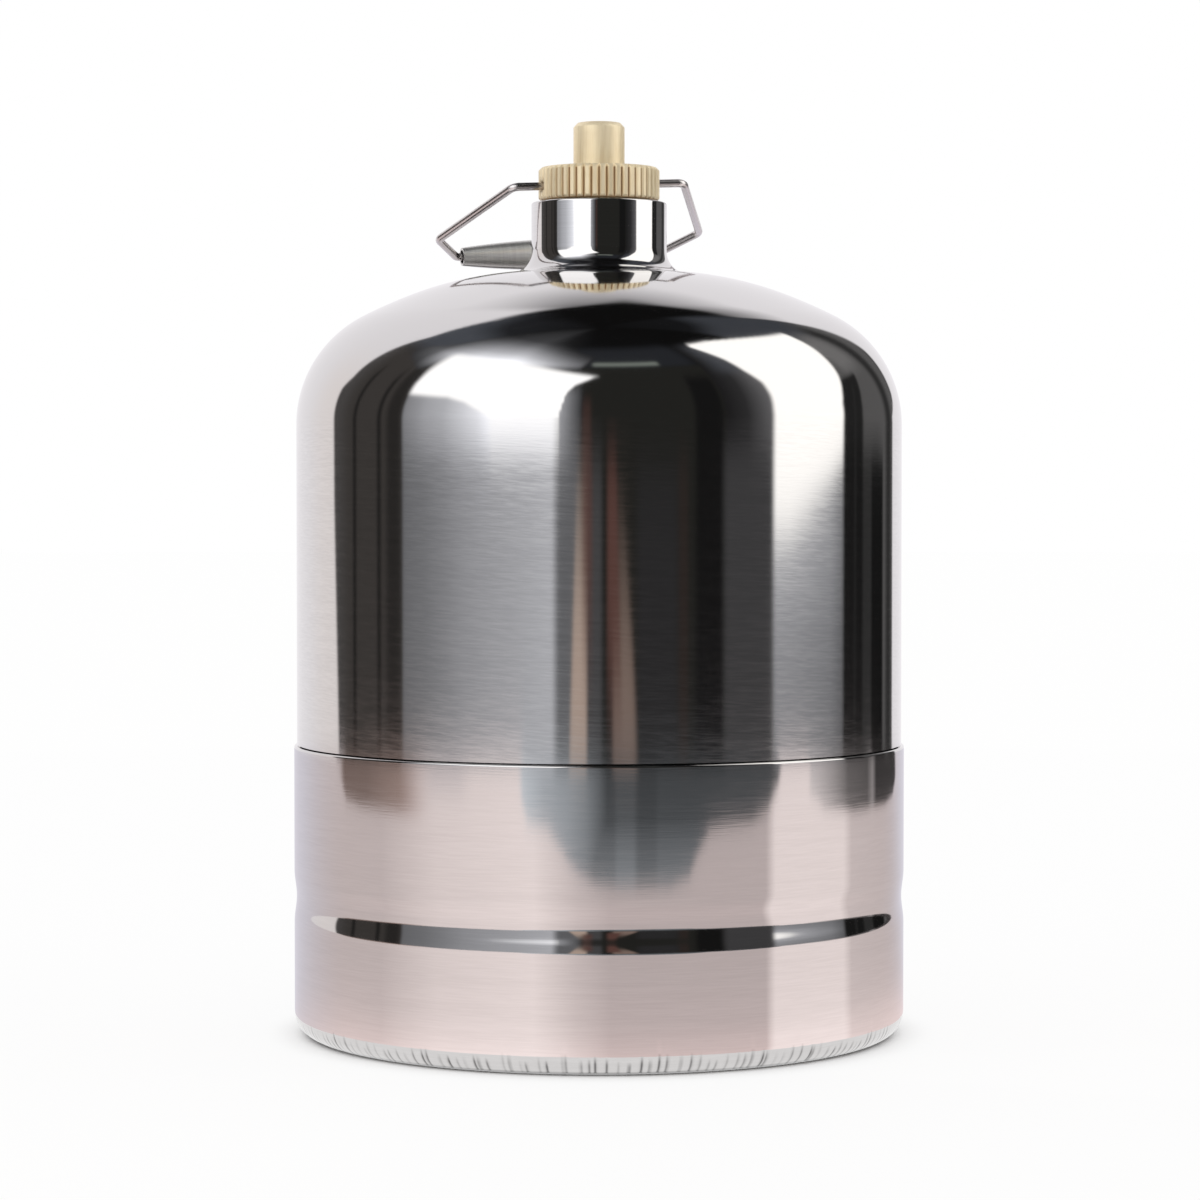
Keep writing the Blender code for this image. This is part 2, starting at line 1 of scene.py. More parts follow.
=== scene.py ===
"""Looks of the refillable gas canister.

Fine turned, lofted and swept meshes stand for the faceted solids, each with a
procedural material. They stand on a white floor, in a round tent of light and
dark cloth that the polished steel mirrors: two softboxes, the dark rooms beside
them, white paper behind and a pale table. Metres, +Z up, in the model's own frame.
"""
import math
import random

import bmesh
import bpy
from mathutils import Matrix, Vector


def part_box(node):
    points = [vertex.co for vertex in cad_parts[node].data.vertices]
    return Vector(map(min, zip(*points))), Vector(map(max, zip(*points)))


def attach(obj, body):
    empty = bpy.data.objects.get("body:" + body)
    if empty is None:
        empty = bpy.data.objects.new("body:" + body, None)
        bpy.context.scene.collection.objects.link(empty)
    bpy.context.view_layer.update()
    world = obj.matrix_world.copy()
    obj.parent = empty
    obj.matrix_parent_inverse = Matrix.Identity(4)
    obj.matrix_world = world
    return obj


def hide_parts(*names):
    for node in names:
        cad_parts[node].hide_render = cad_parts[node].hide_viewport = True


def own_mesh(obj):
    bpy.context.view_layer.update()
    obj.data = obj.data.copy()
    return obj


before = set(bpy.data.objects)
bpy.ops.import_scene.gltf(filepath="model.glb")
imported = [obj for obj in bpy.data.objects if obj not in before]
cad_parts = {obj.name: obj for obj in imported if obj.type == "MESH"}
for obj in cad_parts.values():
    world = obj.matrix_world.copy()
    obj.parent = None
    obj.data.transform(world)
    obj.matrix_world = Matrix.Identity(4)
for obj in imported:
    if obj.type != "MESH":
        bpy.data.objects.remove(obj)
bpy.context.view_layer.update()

MM = 0.001

# Levels and radii read from the solids
NECK_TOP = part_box("upper_shell")[1].z
CUP_RADIUS, _, SEAM_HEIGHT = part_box("lower_cup")[1]
COLLAR_RADIUS, _, COLLAR_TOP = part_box("neck_collar")[1]
SKIRT_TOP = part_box("base_dish")[1].z
CAP_BOTTOM, BOSS_TOP = (corner.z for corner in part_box("dust_cap"))
VALVE_BOTTOM, NIPPLE_TOP = (corner.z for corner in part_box("valve_body"))

# Gap between pieces, breadth of a broken edge, and length of the short faces beside small rounds
GAP = 0.3 * MM
EDGE = 0.4 * MM
SMALL = 0.04 * MM

# Shell
BODY_RADIUS = 55.0 * MM
SHELL_WALL = 1.2 * MM
SHOULDER_HEIGHT = 110.4 * MM
KNUCKLE_RADIUS = 22.0 * MM
CROWN_RADIUS = 95.0 * MM
TOP_REACH = 34.0 * MM
TOP_RADIUS = 62.0 * MM
NECK_FILLET = 4.2 * MM
LAP_RADIUS = 54.0 * MM
LAP_LENGTH = 8.0 * MM
INNER_STEP = 0.5 * MM
JOGGLE_LIFT = 0.03 * MM
JOGGLE_HEIGHT = 0.2 * MM
SHOULDER_EASE = 11.0 * MM

# Cup
CUP_WALL = 1.2 * MM
RIM_ROUND = 0.35 * MM
BEAD_HEIGHT = 25.1 * MM
BEAD_HALF_WIDTH = 4.8 * MM
BEAD_DEPTH = 0.42 * MM
CORNER_RADIUS = 4.0 * MM
FOOT_WIDTH = 3.0 * MM
CRIMP_MARKS = 204
CRIMP_DEPTH = 0.09 * MM
CRIMP_WIDTH = 0.2 * MM
CRIMP_HEIGHTS = (2.6 * MM, 4.2 * MM)
CRIMP_SEED = 11

# Base dish
DISH_WALL = 1.2 * MM
DISH_FLAT = 5.0 * MM
DISH_TURN_RADIUS = 4.0 * MM
DISH_CROWN_RADIUS = 110.0 * MM

# Collar
COLLAR_EDGE = 0.35 * MM
SPIGOT_LENGTH = 5.3 * MM
COUNTERBORE_DEPTH = 3.4 * MM
COUNTERBORE_RADIUS = 9.0 * MM
COLLAR_BORE = 7.2 * MM

# Valve body
SHANK_RADIUS = 6.9 * MM
FLANGE_RADIUS = 8.7 * MM
FLANGE_THICKNESS = 1.4 * MM
NIPPLE_RADIUS = 5.56 * MM
NIPPLE_HEIGHT = 4.3 * MM
THREAD_PITCH = 0.907 * MM
THREAD_DEPTH = 0.5 * MM
SOCKET_RADIUS = 2.4 * MM
SOCKET_DEPTH = 6.3 * MM
WEB_THICKNESS = 1.6 * MM
CHAMBER_RADIUS = 3.6 * MM
STEM_BORE = 1.4 * MM
NIPPLE_RELIEF = 0.6 * MM

# Valve spring
SPRING_WIRE = 0.6 * MM
SPRING_TURNS = 7
SPRING_STEPS = 28

# Dust cap
KNURL_TEETH = 48
KNURL_DEPTH = 0.5 * MM
KNURL_CHAMFER = 0.5 * MM
RING_HEIGHT = 6.0 * MM
CAP_RADIUS = 11.0 * MM
CAP_BORE = 5.86 * MM
CAP_WEB = 0.9 * MM
CAP_THREAD_DEPTH = 0.2 * MM
BOSS_RADIUS = 4.65 * MM
BOSS_CHAMFER = 0.8 * MM
BOSS_FILLET = 0.25 * MM
PIVOT_HOLE = 1.05 * MM
PIVOT_HOLE_END = 7.26 * MM

# Bail and grip
WIRE_RADIUS = 0.75 * MM
CAP_TURN = math.radians(17.0)
PIVOT_SLOPE = math.radians(2.7)
BAIL_FALL = math.radians(21.8)
ARM_SPREAD = 16.2 * MM
WIDE_SPREAD = 25.5 * MM
WIDE_REACH = 21.2 * MM
GRIP_SPREAD = 20.3 * MM
GRIP_REACH = 29.0 * MM
ARM_BEND = 1.8 * MM
SHOULDER_BEND = 1.8 * MM
GRIP_BEND = 1.2 * MM
GRIP_HALF_LENGTH = 19.2 * MM
GRIP_MID_RADIUS = 2.9 * MM
GRIP_END_RADIUS = 1.7 * MM
GRIP_WALL = 0.5 * MM
GRIP_SLIT = math.radians(5.0)

# Sides of the turned meshes
BODY_SIDES = 256
CUP_SIDES = 1056
NECK_SIDES = 192
THREAD_SIDES = 96
SIDES_PER_TOOTH = 14
HOLE_SIDES = 40

# Camera, from the photograph's ellipses
EYE_DISTANCE = 0.645
EYE_HEIGHT = 0.0968
EYE_PITCH = math.radians(1.62)
LENS = 106.04
SENSOR = 36.0
AXIS_SHIFT = 0.0008

# Light of the studio tent's cloths, 1 being white paper
CEILING = (0.006, 0.006, 0.006)
BLACK = (0.010, 0.010, 0.010)
HAZE = (0.080, 0.087, 0.102)
ROOM_LEFT = (0.056, 0.051, 0.048)
ROOM_FRONT = (0.021, 0.021, 0.019)
ROOM_SPILL = (0.17, 0.168, 0.175)
ROOM_RIGHT = (0.115, 0.113, 0.113)
ARC_RIGHT = (0.035, 0.035, 0.035)
POST_LEFT = (0.54, 0.42, 0.35)
POST_RIGHT = (0.26, 0.19, 0.16)
POST_RED = (0.13, 0.065, 0.055)
SHELF = (0.25, 0.28, 0.25)
COOL = (0.96, 0.98, 1.04)
SOFTBOX_LEFT = (1.5, 1.5, 1.5)
SOFTBOX_RIGHT = (1.5, 1.48, 1.44)
PAPER = (0.93, 0.91, 0.935)
PAPER_WARM = (0.92, 0.87, 0.86)
TABLE_DARK = (0.46, 0.315, 0.30)
TABLE_LIGHT = (1.21, 1.01, 0.98)

# Tent and floor
TENT_RADIUS = 750.0 * MM
TENT_TOP = 3.0
TENT_COLUMNS = 480
TENT_CENTRE = SHOULDER_HEIGHT - 15.0 * MM
CLOTH_LIFT = 0.5 * MM
FLOOR_RADIUS = 6.0
CONTACT_REACH = 9.0 * MM
WHITE_SHARE = 0.88

# Sizes that follow
NECK_BORE = COLLAR_RADIUS - SHELL_WALL
KNUCKLE_CENTRE = BODY_RADIUS - KNUCKLE_RADIUS
CROWN_CENTRE = SHOULDER_HEIGHT - math.sqrt(
    (CROWN_RADIUS - KNUCKLE_RADIUS) ** 2 - KNUCKLE_CENTRE ** 2)
KNUCKLE_ANGLE = math.acos(KNUCKLE_CENTRE / (CROWN_RADIUS - KNUCKLE_RADIUS))
TOP_ANGLE = math.acos(TOP_REACH / CROWN_RADIUS)
TOP_CENTRE_R = (CROWN_RADIUS - TOP_RADIUS) * math.cos(TOP_ANGLE)
TOP_CENTRE_Z = CROWN_CENTRE + (CROWN_RADIUS - TOP_RADIUS) * math.sin(TOP_ANGLE)
SWEEP_CENTRE = COLLAR_RADIUS + NECK_FILLET
NECK_ANGLE = math.acos((SWEEP_CENTRE - TOP_CENTRE_R) / (TOP_RADIUS + NECK_FILLET))
CUP_BORE = CUP_RADIUS - CUP_WALL
PIVOT_HEIGHT = CAP_BOTTOM + RING_HEIGHT / 2


# Meshes

def smooth(value, low, high):
    """0 below low and 1 above high, or the other way round where high is the lower."""
    share = min(1.0, max(0.0, (value - low) / (high - low)))
    return share * share * (3 - 2 * share)


def arc(centre_r, centre_z, radius, start, end, steps):
    """Points on an arc in the half plane of a turned outline, both ends included."""
    points = []
    for i in range(steps + 1):
        angle = start + (end - start) * i / steps
        points.append((centre_r + radius * math.cos(angle), centre_z + radius * math.sin(angle)))
    return points


def linked(name, data, material=None):
    """A new object in the scene, with its material."""
    obj = bpy.data.objects.new(name, data)
    if material:
        data.materials.append(material)
    bpy.context.scene.collection.objects.link(obj)
    return obj


def finished(name, bm):
    """The mesh of a bmesh, which is freed."""
    mesh = bpy.data.meshes.new(name)
    bm.to_mesh(mesh)
    bm.free()
    return mesh


def evaluated(obj):
    """A mesh of an object with its bevel or modifiers applied."""
    return bpy.data.meshes.new_from_object(obj.evaluated_get(bpy.context.evaluated_depsgraph_get()))


def piece(name, mesh, material, sharp=40.0):
    """One smooth-shaded object of the canister."""
    mesh.shade_smooth()
    mesh.set_sharp_from_angle(angle=math.radians(sharp))
    return linked(name, mesh, material)


def rings_to_mesh(name, rings, closed):
    """Quads between rings of points. A ring of one point is a tip on the axis."""
    bm = bmesh.new()
    loops = [[bm.verts.new(point) for point in ring] for ring in rings]
    pairs = list(zip(loops, loops[1:]))
    if closed:
        pairs.append((loops[-1], loops[0]))
    for low, high in pairs:
        count = max(len(low), len(high))
        for i in range(count):
            j = (i + 1) % count
            corners = [low[i % len(low)], low[j % len(low)], high[j % len(high)], high[i % len(high)]]
            corners = [v for k, v in enumerate(corners) if v not in corners[:k]]
            bm.faces.new(corners)
    bmesh.ops.recalc_face_normals(bm, faces=bm.faces)
    return finished(name, bm)


def turned(name, outline, sides, material, change=None, sharp=40.0):
    """Spin an outline about Z. change(r, z, angle, index) may move each point's (r, z)."""
    rings = []
    for index, (r, z) in enumerate(outline):
        if r == 0.0:
            rings.append([(0.0, 0.0, z)])
            continue
        ring = []
        for i in range(sides):
            angle = 2 * math.pi * i / sides
            rr, zz = change(r, z, angle, index) if change else (r, z)
            ring.append((rr * math.cos(angle), rr * math.sin(angle), zz))
        rings.append(ring)
    closed = outline[0][0] != 0.0
    return piece(name, rings_to_mesh(name, rings, closed), material, sharp)


def swept(name, points, radius, material, resolution):
    """A round wire along a line of points, with filled ends."""
    curve = bpy.data.curves.new(name, "CURVE")
    curve.dimensions = "3D"
    curve.bevel_depth = radius
    curve.bevel_resolution = resolution
    curve.use_fill_caps = True
    spline = curve.splines.new("POLY")
    spline.points.add(len(points) - 1)
    for target, point in zip(spline.points, points):
        target.co = (*point, 1.0)
    spline.use_smooth = True
    return linked(name, curve, material)


def rounded(corners, radii, steps):
    """A flat line through corners, each but the ends replaced by an arc."""
    points = [Vector(corners[0])]
    for i, radius in enumerate(radii, start=1):
        before = (Vector(corners[i - 1]) - Vector(corners[i])).normalized()
        after = (Vector(corners[i + 1]) - Vector(corners[i])).normalized()
        half = before.angle(after) / 2
        middle = (before + after).normalized()
        centre = Vector(corners[i]) + middle * (radius / math.sin(half))
        reach = math.pi / 2 - half
        across = (after - before).normalized()
        for k in range(steps + 1):
            angle = -reach + 2 * reach * k / steps
            points.append(centre + radius * (across * math.sin(angle) - middle * math.cos(angle)))
    points.append(Vector(corners[-1]))
    return points


def bead_points(radius, upwards, steps):
    """The rolled groove's dent in a wall of the given radius."""
    points = []
    for i in range(steps + 1):
        share = -1 + 2 * i / steps
        dent = BEAD_DEPTH * (1 + math.cos(math.pi * share)) / 2
        points.append((radius - dent, BEAD_HEIGHT + BEAD_HALF_WIDTH * share))
    return points if upwards else points[::-1]


def line(start, end, steps):
    """Evenly spaced points from start to end, without the start."""
    return [(start[0] + (end[0] - start[0]) * i / steps, start[1] + (end[1] - start[1]) * i / steps)
            for i in range(1, steps + 1)]


def make_shell(material):
    """Drawn wall, eased into the knuckle, with the crown, the sweep and the pulled neck."""
    step_foot = SEAM_HEIGHT + JOGGLE_LIFT
    sweep_end = math.pi + NECK_ANGLE
    outline = [(LAP_RADIUS, SEAM_HEIGHT - LAP_LENGTH), (LAP_RADIUS, step_foot - 0.1 * MM)]
    for share in (0.0, 0.2, 0.4, 0.6, 0.8, 1.0):
        outline.append((LAP_RADIUS + (BODY_RADIUS - LAP_RADIUS) * smooth(share, 0, 1),
                        step_foot + JOGGLE_HEIGHT * share))
    outline.append((BODY_RADIUS, outline[-1][1] + 0.05 * MM))
    ease_foot = SHOULDER_HEIGHT - SHOULDER_EASE
    outline += line(outline[-1], (BODY_RADIUS, ease_foot), 20)
    outline += arc(KNUCKLE_CENTRE, SHOULDER_HEIGHT, KNUCKLE_RADIUS, 0, KNUCKLE_ANGLE, 30)
    outline += arc(0, CROWN_CENTRE, CROWN_RADIUS, KNUCKLE_ANGLE, TOP_ANGLE, 10)[1:]
    outline += arc(TOP_CENTRE_R, TOP_CENTRE_Z, TOP_RADIUS, TOP_ANGLE, NECK_ANGLE, 16)[1:]
    outline += arc(SWEEP_CENTRE, NECK_TOP, NECK_FILLET, sweep_end, math.pi, 14)[1:]
    outline += arc(SWEEP_CENTRE, NECK_TOP, NECK_FILLET + SHELL_WALL, math.pi, sweep_end, 8)
    outline += arc(TOP_CENTRE_R, TOP_CENTRE_Z, TOP_RADIUS - SHELL_WALL, NECK_ANGLE, TOP_ANGLE, 8)[1:]
    outline += arc(0, CROWN_CENTRE, CROWN_RADIUS - SHELL_WALL, TOP_ANGLE, KNUCKLE_ANGLE, 6)[1:]
    outline += arc(KNUCKLE_CENTRE, SHOULDER_HEIGHT, KNUCKLE_RADIUS - SHELL_WALL,
                   KNUCKLE_ANGLE, 0, 12)[1:]
    outline += [(BODY_RADIUS - SHELL_WALL, step_foot + JOGGLE_HEIGHT - INNER_STEP),
                (LAP_RADIUS - SHELL_WALL, step_foot - INNER_STEP),
                (LAP_RADIUS - SHELL_WALL, SEAM_HEIGHT - LAP_LENGTH)]
    return turned("shell", outline, BODY_SIDES, material)


def crimp_field():
    """Angles, heights and depths of the crimp marks on the cup's turned-in edge."""
    rng = random.Random(CRIMP_SEED)
    marks = []
    for i in range(CRIMP_MARKS):
        angle = 2 * math.pi * (i + rng.uniform(-0.38, 0.38)) / CRIMP_MARKS
        marks.append((angle, rng.uniform(*CRIMP_HEIGHTS), CRIMP_DEPTH * rng.uniform(0.15, 1.0)))
    return marks


def make_cup(material):
    """Sleeve with a soft rim, the rolled bead and a crimped bottom edge."""
    corner = CUP_RADIUS - CORNER_RADIUS
    foot = corner - FOOT_WIDTH
    outline = arc(CUP_RADIUS - RIM_ROUND, SEAM_HEIGHT - RIM_ROUND, RIM_ROUND, math.pi / 2, 0, 5)
    bead = bead_points(CUP_RADIUS, upwards=False, steps=28)
    outline.append((CUP_RADIUS, outline[-1][1] - SMALL))
    outline += line(outline[-1], (CUP_RADIUS, bead[0][1] + SMALL), 6) + bead
    outline.append((CUP_RADIUS, bead[-1][1] - SMALL))
    outline += line(outline[-1], (CUP_RADIUS, CORNER_RADIUS + SMALL), 6)
    outline += arc(corner, CORNER_RADIUS, CORNER_RADIUS, 0, -math.pi / 2, 22)
    outline += [(foot + EDGE, 0.0), (foot, EDGE / 2), (foot, CUP_WALL)]
    outer = len(outline)
    outline += arc(corner, CORNER_RADIUS, CORNER_RADIUS - CUP_WALL, -math.pi / 2, 0, 6)
    outline += bead_points(CUP_BORE, upwards=True, steps=12)
    outline += [(CUP_BORE, SEAM_HEIGHT)]
    marks = crimp_field()
    spread = CRIMP_WIDTH / CUP_RADIUS
    near = {}
    creases = {}
    for angle, top, depth in marks:
        middle = round(angle / (2 * math.pi) * CUP_SIDES)
        for i in range(middle - 6, middle + 7):
            off = 2 * math.pi * i / CUP_SIDES - angle
            near.setdefault(i % CUP_SIDES, []).append((math.exp(-(off / spread) ** 2), top, depth))

    def crimped(r, z, angle, index):
        """Press each mark into the corner, deepest near the foot."""
        if index >= outer or z > CORNER_RADIUS or r < corner + EDGE:
            return r, z
        side = round(angle / (2 * math.pi) * CUP_SIDES) % CUP_SIDES
        push = 0.0
        for share, top, depth in near.get(side, ()):
            height = max(0.0, 1 - z / top)
            push += depth * share * min(1.0, 2.5 * height)
        creases[index, side] = min(1.0, push / CRIMP_DEPTH)
        out = ((r - corner) / CORNER_RADIUS, (z - CORNER_RADIUS) / CORNER_RADIUS)
        return r - push * out[0], z - push * out[1]

    cup = turned("cup", outline, CUP_SIDES, material, crimped)
    # The crease attribute carries each mark's pressed depth to the cup's material, which paints shade and
    # dirt into the marks.
    crease_dirt_and_shade = cup.data.attributes.new("crease_dirt_and_shade", "FLOAT", "POINT")
    for (index, side), depth in creases.items():
        crease_dirt_and_shade.data[index * CUP_SIDES + side].value = depth
    return cup


def make_base(material):
    """Concave end, its rim resting on the cup's turned-in foot."""
    corner = CUP_RADIUS - CORNER_RADIUS
    corner_radius = CORNER_RADIUS - CUP_WALL - GAP
    skirt = CUP_BORE - GAP
    turn = corner - DISH_FLAT
    turn_level = CUP_WALL + GAP + DISH_TURN_RADIUS
    slope = math.asin(turn / (DISH_CROWN_RADIUS + DISH_TURN_RADIUS))
    crown = turn_level - (DISH_CROWN_RADIUS + DISH_TURN_RADIUS) * math.cos(slope)
    down = -math.pi / 2
    up = math.pi / 2
    outline = [(0.0, crown + DISH_CROWN_RADIUS)]
    outline += arc(0, crown, DISH_CROWN_RADIUS, up, up - slope, 24)[1:]
    outline += arc(turn, turn_level, DISH_TURN_RADIUS, down - slope, down, 10)[1:]
    outline += arc(corner, CORNER_RADIUS, corner_radius, down, 0, 8)
    outline += [(skirt, SKIRT_TOP), (skirt - DISH_WALL, SKIRT_TOP)]
    outline += arc(corner, CORNER_RADIUS, corner_radius - DISH_WALL, 0, down, 6)
    outline += arc(turn, turn_level, DISH_TURN_RADIUS - DISH_WALL, down, down - slope, 6)
    outline += arc(0, crown, DISH_CROWN_RADIUS + DISH_WALL, up - slope, up, 12)[1:-1]
    outline += [(0.0, crown + DISH_CROWN_RADIUS + DISH_WALL)]
    return turned("base", outline, BODY_SIDES, material)


def make_collar(material):
    """Turned collar, its wall flush with the pulled neck that it is welded to."""
    spigot = NECK_BORE - GAP
    spigot_end = NECK_TOP - SPIGOT_LENGTH
    floor = COLLAR_TOP - COUNTERBORE_DEPTH
    edge = arc(COLLAR_RADIUS - COLLAR_EDGE, COLLAR_TOP - COLLAR_EDGE, COLLAR_EDGE, 0, math.pi / 2, 6)
    outline = [(COLLAR_BORE, spigot_end), (spigot - EDGE, spigot_end), (spigot, spigot_end + EDGE),
               (spigot, NECK_TOP), (COLLAR_RADIUS, NECK_TOP)]
    outline += line(outline[-1], (COLLAR_RADIUS, edge[0][1] - SMALL), 8) + edge
    outline += [(COUNTERBORE_RADIUS + EDGE / 2, COLLAR_TOP),
                (COUNTERBORE_RADIUS, COLLAR_TOP - EDGE / 2), (COUNTERBORE_RADIUS, floor),
                (COLLAR_BORE, floor)]
    return turned("collar", outline, NECK_SIDES, material)


def thread(radius, depth, low, high, rows):
    """Outline rows and a change that cuts a right-hand thread between two levels."""
    outline = [(radius, low + (high - low) * i / rows) for i in range(rows + 1)]

    def cut(r, z, angle, index):
        if not (low <= z <= high) or abs(r - radius) > 1e-7:
            return r, z
        fade = min(1.0, (z - low) / THREAD_PITCH * 2, (high - z) / THREAD_PITCH * 2)
        phase = (z / THREAD_PITCH - angle / (2 * math.pi)) % 1.0
        ridge = min(1.0, max(0.0, 2.6 * abs(phase - 0.5) - 0.15))
        return r - depth * fade * (1 - ridge), z

    return outline, cut


def make_valve(material):
    """Brass insert with its threaded nipple, socket and spring chamber."""
    flange_top = NIPPLE_TOP - NIPPLE_HEIGHT
    flange_bottom = flange_top - FLANGE_THICKNESS
    relief = flange_top + NIPPLE_RELIEF
    root = NIPPLE_RADIUS - THREAD_DEPTH
    web_top = NIPPLE_TOP - SOCKET_DEPTH
    roof = web_top - WEB_THICKNESS
    rows, cut = thread(NIPPLE_RADIUS, THREAD_DEPTH, relief + THREAD_DEPTH, NIPPLE_TOP - EDGE, 64)
    outline = [(CHAMBER_RADIUS, VALVE_BOTTOM), (SHANK_RADIUS - EDGE, VALVE_BOTTOM),
               (SHANK_RADIUS, VALVE_BOTTOM + EDGE), (SHANK_RADIUS, flange_bottom),
               (FLANGE_RADIUS - EDGE / 2, flange_bottom), (FLANGE_RADIUS, flange_bottom + EDGE / 2),
               (FLANGE_RADIUS, flange_top - EDGE / 2), (FLANGE_RADIUS - EDGE / 2, flange_top),
               (root, flange_top), (root, relief)]
    outline += rows
    outline += [(NIPPLE_RADIUS - EDGE, NIPPLE_TOP), (SOCKET_RADIUS + EDGE, NIPPLE_TOP),
                (SOCKET_RADIUS, NIPPLE_TOP - EDGE), (SOCKET_RADIUS, web_top), (STEM_BORE, web_top),
                (STEM_BORE, roof), (CHAMBER_RADIUS, roof)]
    return turned("valve", outline, THREAD_SIDES, material, cut)


def make_spring(material):
    """Compression spring of round wire, made as a mesh. The real spring is pressed shorter by the pin."""
    low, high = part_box("valve_spring")
    mean = (high.x - low.x) / 2 - SPRING_WIRE / 2
    count = SPRING_TURNS * SPRING_STEPS
    rise = high.z - low.z - SPRING_WIRE
    points = []
    for i in range(count + 1):
        angle = 2 * math.pi * i / SPRING_STEPS
        level = low.z + SPRING_WIRE / 2 + rise * i / count
        points.append((mean * math.cos(angle), mean * math.sin(angle), level))
    wire = swept("spring_wire", points, SPRING_WIRE / 2, material, 4)
    mesh = evaluated(wire)
    bpy.data.objects.remove(wire)
    return linked("spring", mesh)


def knurl_radius(angle):
    """The knurl's radius at an angle: round-crested teeth with V grooves between."""
    share = (angle / (2 * math.pi) * KNURL_TEETH) % 1.0
    off = abs(share - 0.5) * 2
    crest = min(1.0, (1 - off) * 1.9)
    return CAP_RADIUS - KNURL_DEPTH * (1 - crest ** 1.3)


def make_cap(material):
    """Knurled ring and boss in one, with a threaded bore and two pivot holes."""
    ring_top = CAP_BOTTOM + RING_HEIGHT
    roof = ring_top - CAP_WEB
    mouth = CAP_BORE + EDGE
    rows, cut = thread(CAP_BORE, CAP_THREAD_DEPTH, CAP_BOTTOM + EDGE + 0.1 * MM, roof - 1.1 * MM, 30)
    low = CAP_RADIUS - KNURL_CHAMFER
    levels = [(low, CAP_BOTTOM), (CAP_RADIUS - KNURL_CHAMFER / 2, CAP_BOTTOM + KNURL_CHAMFER / 2),
              (CAP_RADIUS, CAP_BOTTOM + KNURL_CHAMFER)]
    levels += line(levels[-1], (CAP_RADIUS, ring_top - KNURL_CHAMFER), 4)
    levels += [(CAP_RADIUS - KNURL_CHAMFER / 2, ring_top - KNURL_CHAMFER / 2), (low, ring_top)]
    outline = [(0.0, roof), (CAP_BORE, roof)] + rows[::-1]
    outline += [(CAP_BORE, CAP_BOTTOM + EDGE), (mouth, CAP_BOTTOM)]
    first = len(outline)
    outline += levels
    last = len(outline)
    outline += arc(BOSS_RADIUS + BOSS_FILLET, ring_top + BOSS_FILLET, BOSS_FILLET,
                   1.5 * math.pi, math.pi, 4)
    outline += line(outline[-1], (BOSS_RADIUS, BOSS_TOP - BOSS_CHAMFER - 0.1 * MM), 6)
    outline += [(BOSS_RADIUS - 0.03 * MM, BOSS_TOP - BOSS_CHAMFER),
                (BOSS_RADIUS - BOSS_CHAMFER + 0.1 * MM, BOSS_TOP - 0.05 * MM),
                (BOSS_RADIUS - BOSS_CHAMFER - 0.05 * MM, BOSS_TOP), (0.0, BOSS_TOP)]

    def knurled(r, z, angle, index):
        if first <= index < last:
            return min(r, knurl_radius(angle)), z
        return cut(r, z, angle, index)

    cap = turned("cap", outline, KNURL_TEETH * SIDES_PER_TOOTH, material, knurled, sharp=32.0)
    for side, direction in (("left", -1), ("right", 1)):
        drill = [(0.0, PIVOT_HOLE_END), (PIVOT_HOLE, PIVOT_HOLE_END),
                 (PIVOT_HOLE, 1.5 * CAP_RADIUS), (0.0, 1.5 * CAP_RADIUS)]
        tool = turned("pivot_drill_" + side, drill, HOLE_SIDES, material)
        tool.matrix_world = pivot_frame() @ Matrix.Rotation(direction * math.pi / 2, 4, "Y")
        modifier = cap.modifiers.new(tool.name, "BOOLEAN")
        modifier.operation = "DIFFERENCE"
        modifier.object = tool
        bpy.context.view_layer.update()
        mesh = evaluated(cap)
        cap.modifiers.clear()
        cap.data = mesh
        bpy.data.objects.remove(tool)
    return cap


def pivot_frame():
    """Frame of the pivot line: X along it to the right, Y square to it, level, to the back."""
    turn = Matrix.Rotation(CAP_TURN, 4, "Z")
    slope = Matrix.Rotation(-PIVOT_SLOPE, 4, "Y")
    return Matrix.Translation((0, 0, PIVOT_HEIGHT)) @ turn @ slope


def bail_frame():
    return pivot_frame() @ Matrix.Rotation(-BAIL_FALL, 4, "X")


def make_bail_wire(material):
    end = (PIVOT_HOLE_END + GAP, 0.0, 0.0)
    right = [end, (ARM_SPREAD, 0.0, 0.0), (WIDE_SPREAD, WIDE_REACH, 0.0),
             (GRIP_SPREAD, GRIP_REACH, 0.0)]
    left = [(-x, y, z) for x, y, z in reversed(right)]
    bends = [ARM_BEND, SHOULDER_BEND, GRIP_BEND]
    points = rounded(right + left, bends + bends[::-1], 14)
    wire = swept("bail", points, WIRE_RADIUS, material, 8)
    wire.matrix_world = bail_frame()
    return wire


def make_grip(material):
    """Barrel rolled from sheet, open along a slit where its two edges meet."""
    around = 72
    rows = 40
    rings = []
    for i in range(rows + 1):
        share = -1 + 2 * i / rows
        radius = GRIP_MID_RADIUS - (GRIP_MID_RADIUS - GRIP_END_RADIUS) * share ** 2
        ring = []
        for wall in (0.0, GRIP_WALL):
            sweep = [GRIP_SLIT + (2 * math.pi - 2 * GRIP_SLIT) * k / around for k in range(around + 1)]
            for angle in sweep if wall == 0.0 else reversed(sweep):
                r = radius - wall
                ring.append((r * math.cos(angle), r * math.sin(angle), GRIP_HALF_LENGTH * share))
        rings.append(ring)
    bm = bmesh.new()
    loops = [[bm.verts.new(point) for point in ring] for ring in rings]
    size = len(loops[0])
    for low, high in zip(loops, loops[1:]):
        for i in range(size):
            j = (i + 1) % size
            bm.faces.new((low[i], low[j], high[j], high[i]))
    for loop in (loops[0], loops[-1]):
        for i in range(around):
            bm.faces.new((loop[i], loop[i + 1], loop[size - 2 - i], loop[size - 1 - i]))
    bmesh.ops.recalc_face_normals(bm, faces=bm.faces)
    grip = piece("grip", finished("grip", bm), material)
    place = Matrix.Translation((0, GRIP_REACH, 0)) @ Matrix.Rotation(math.pi / 2, 4, "Y")
    grip.matrix_world = bail_frame() @ place
    return grip


# Materials

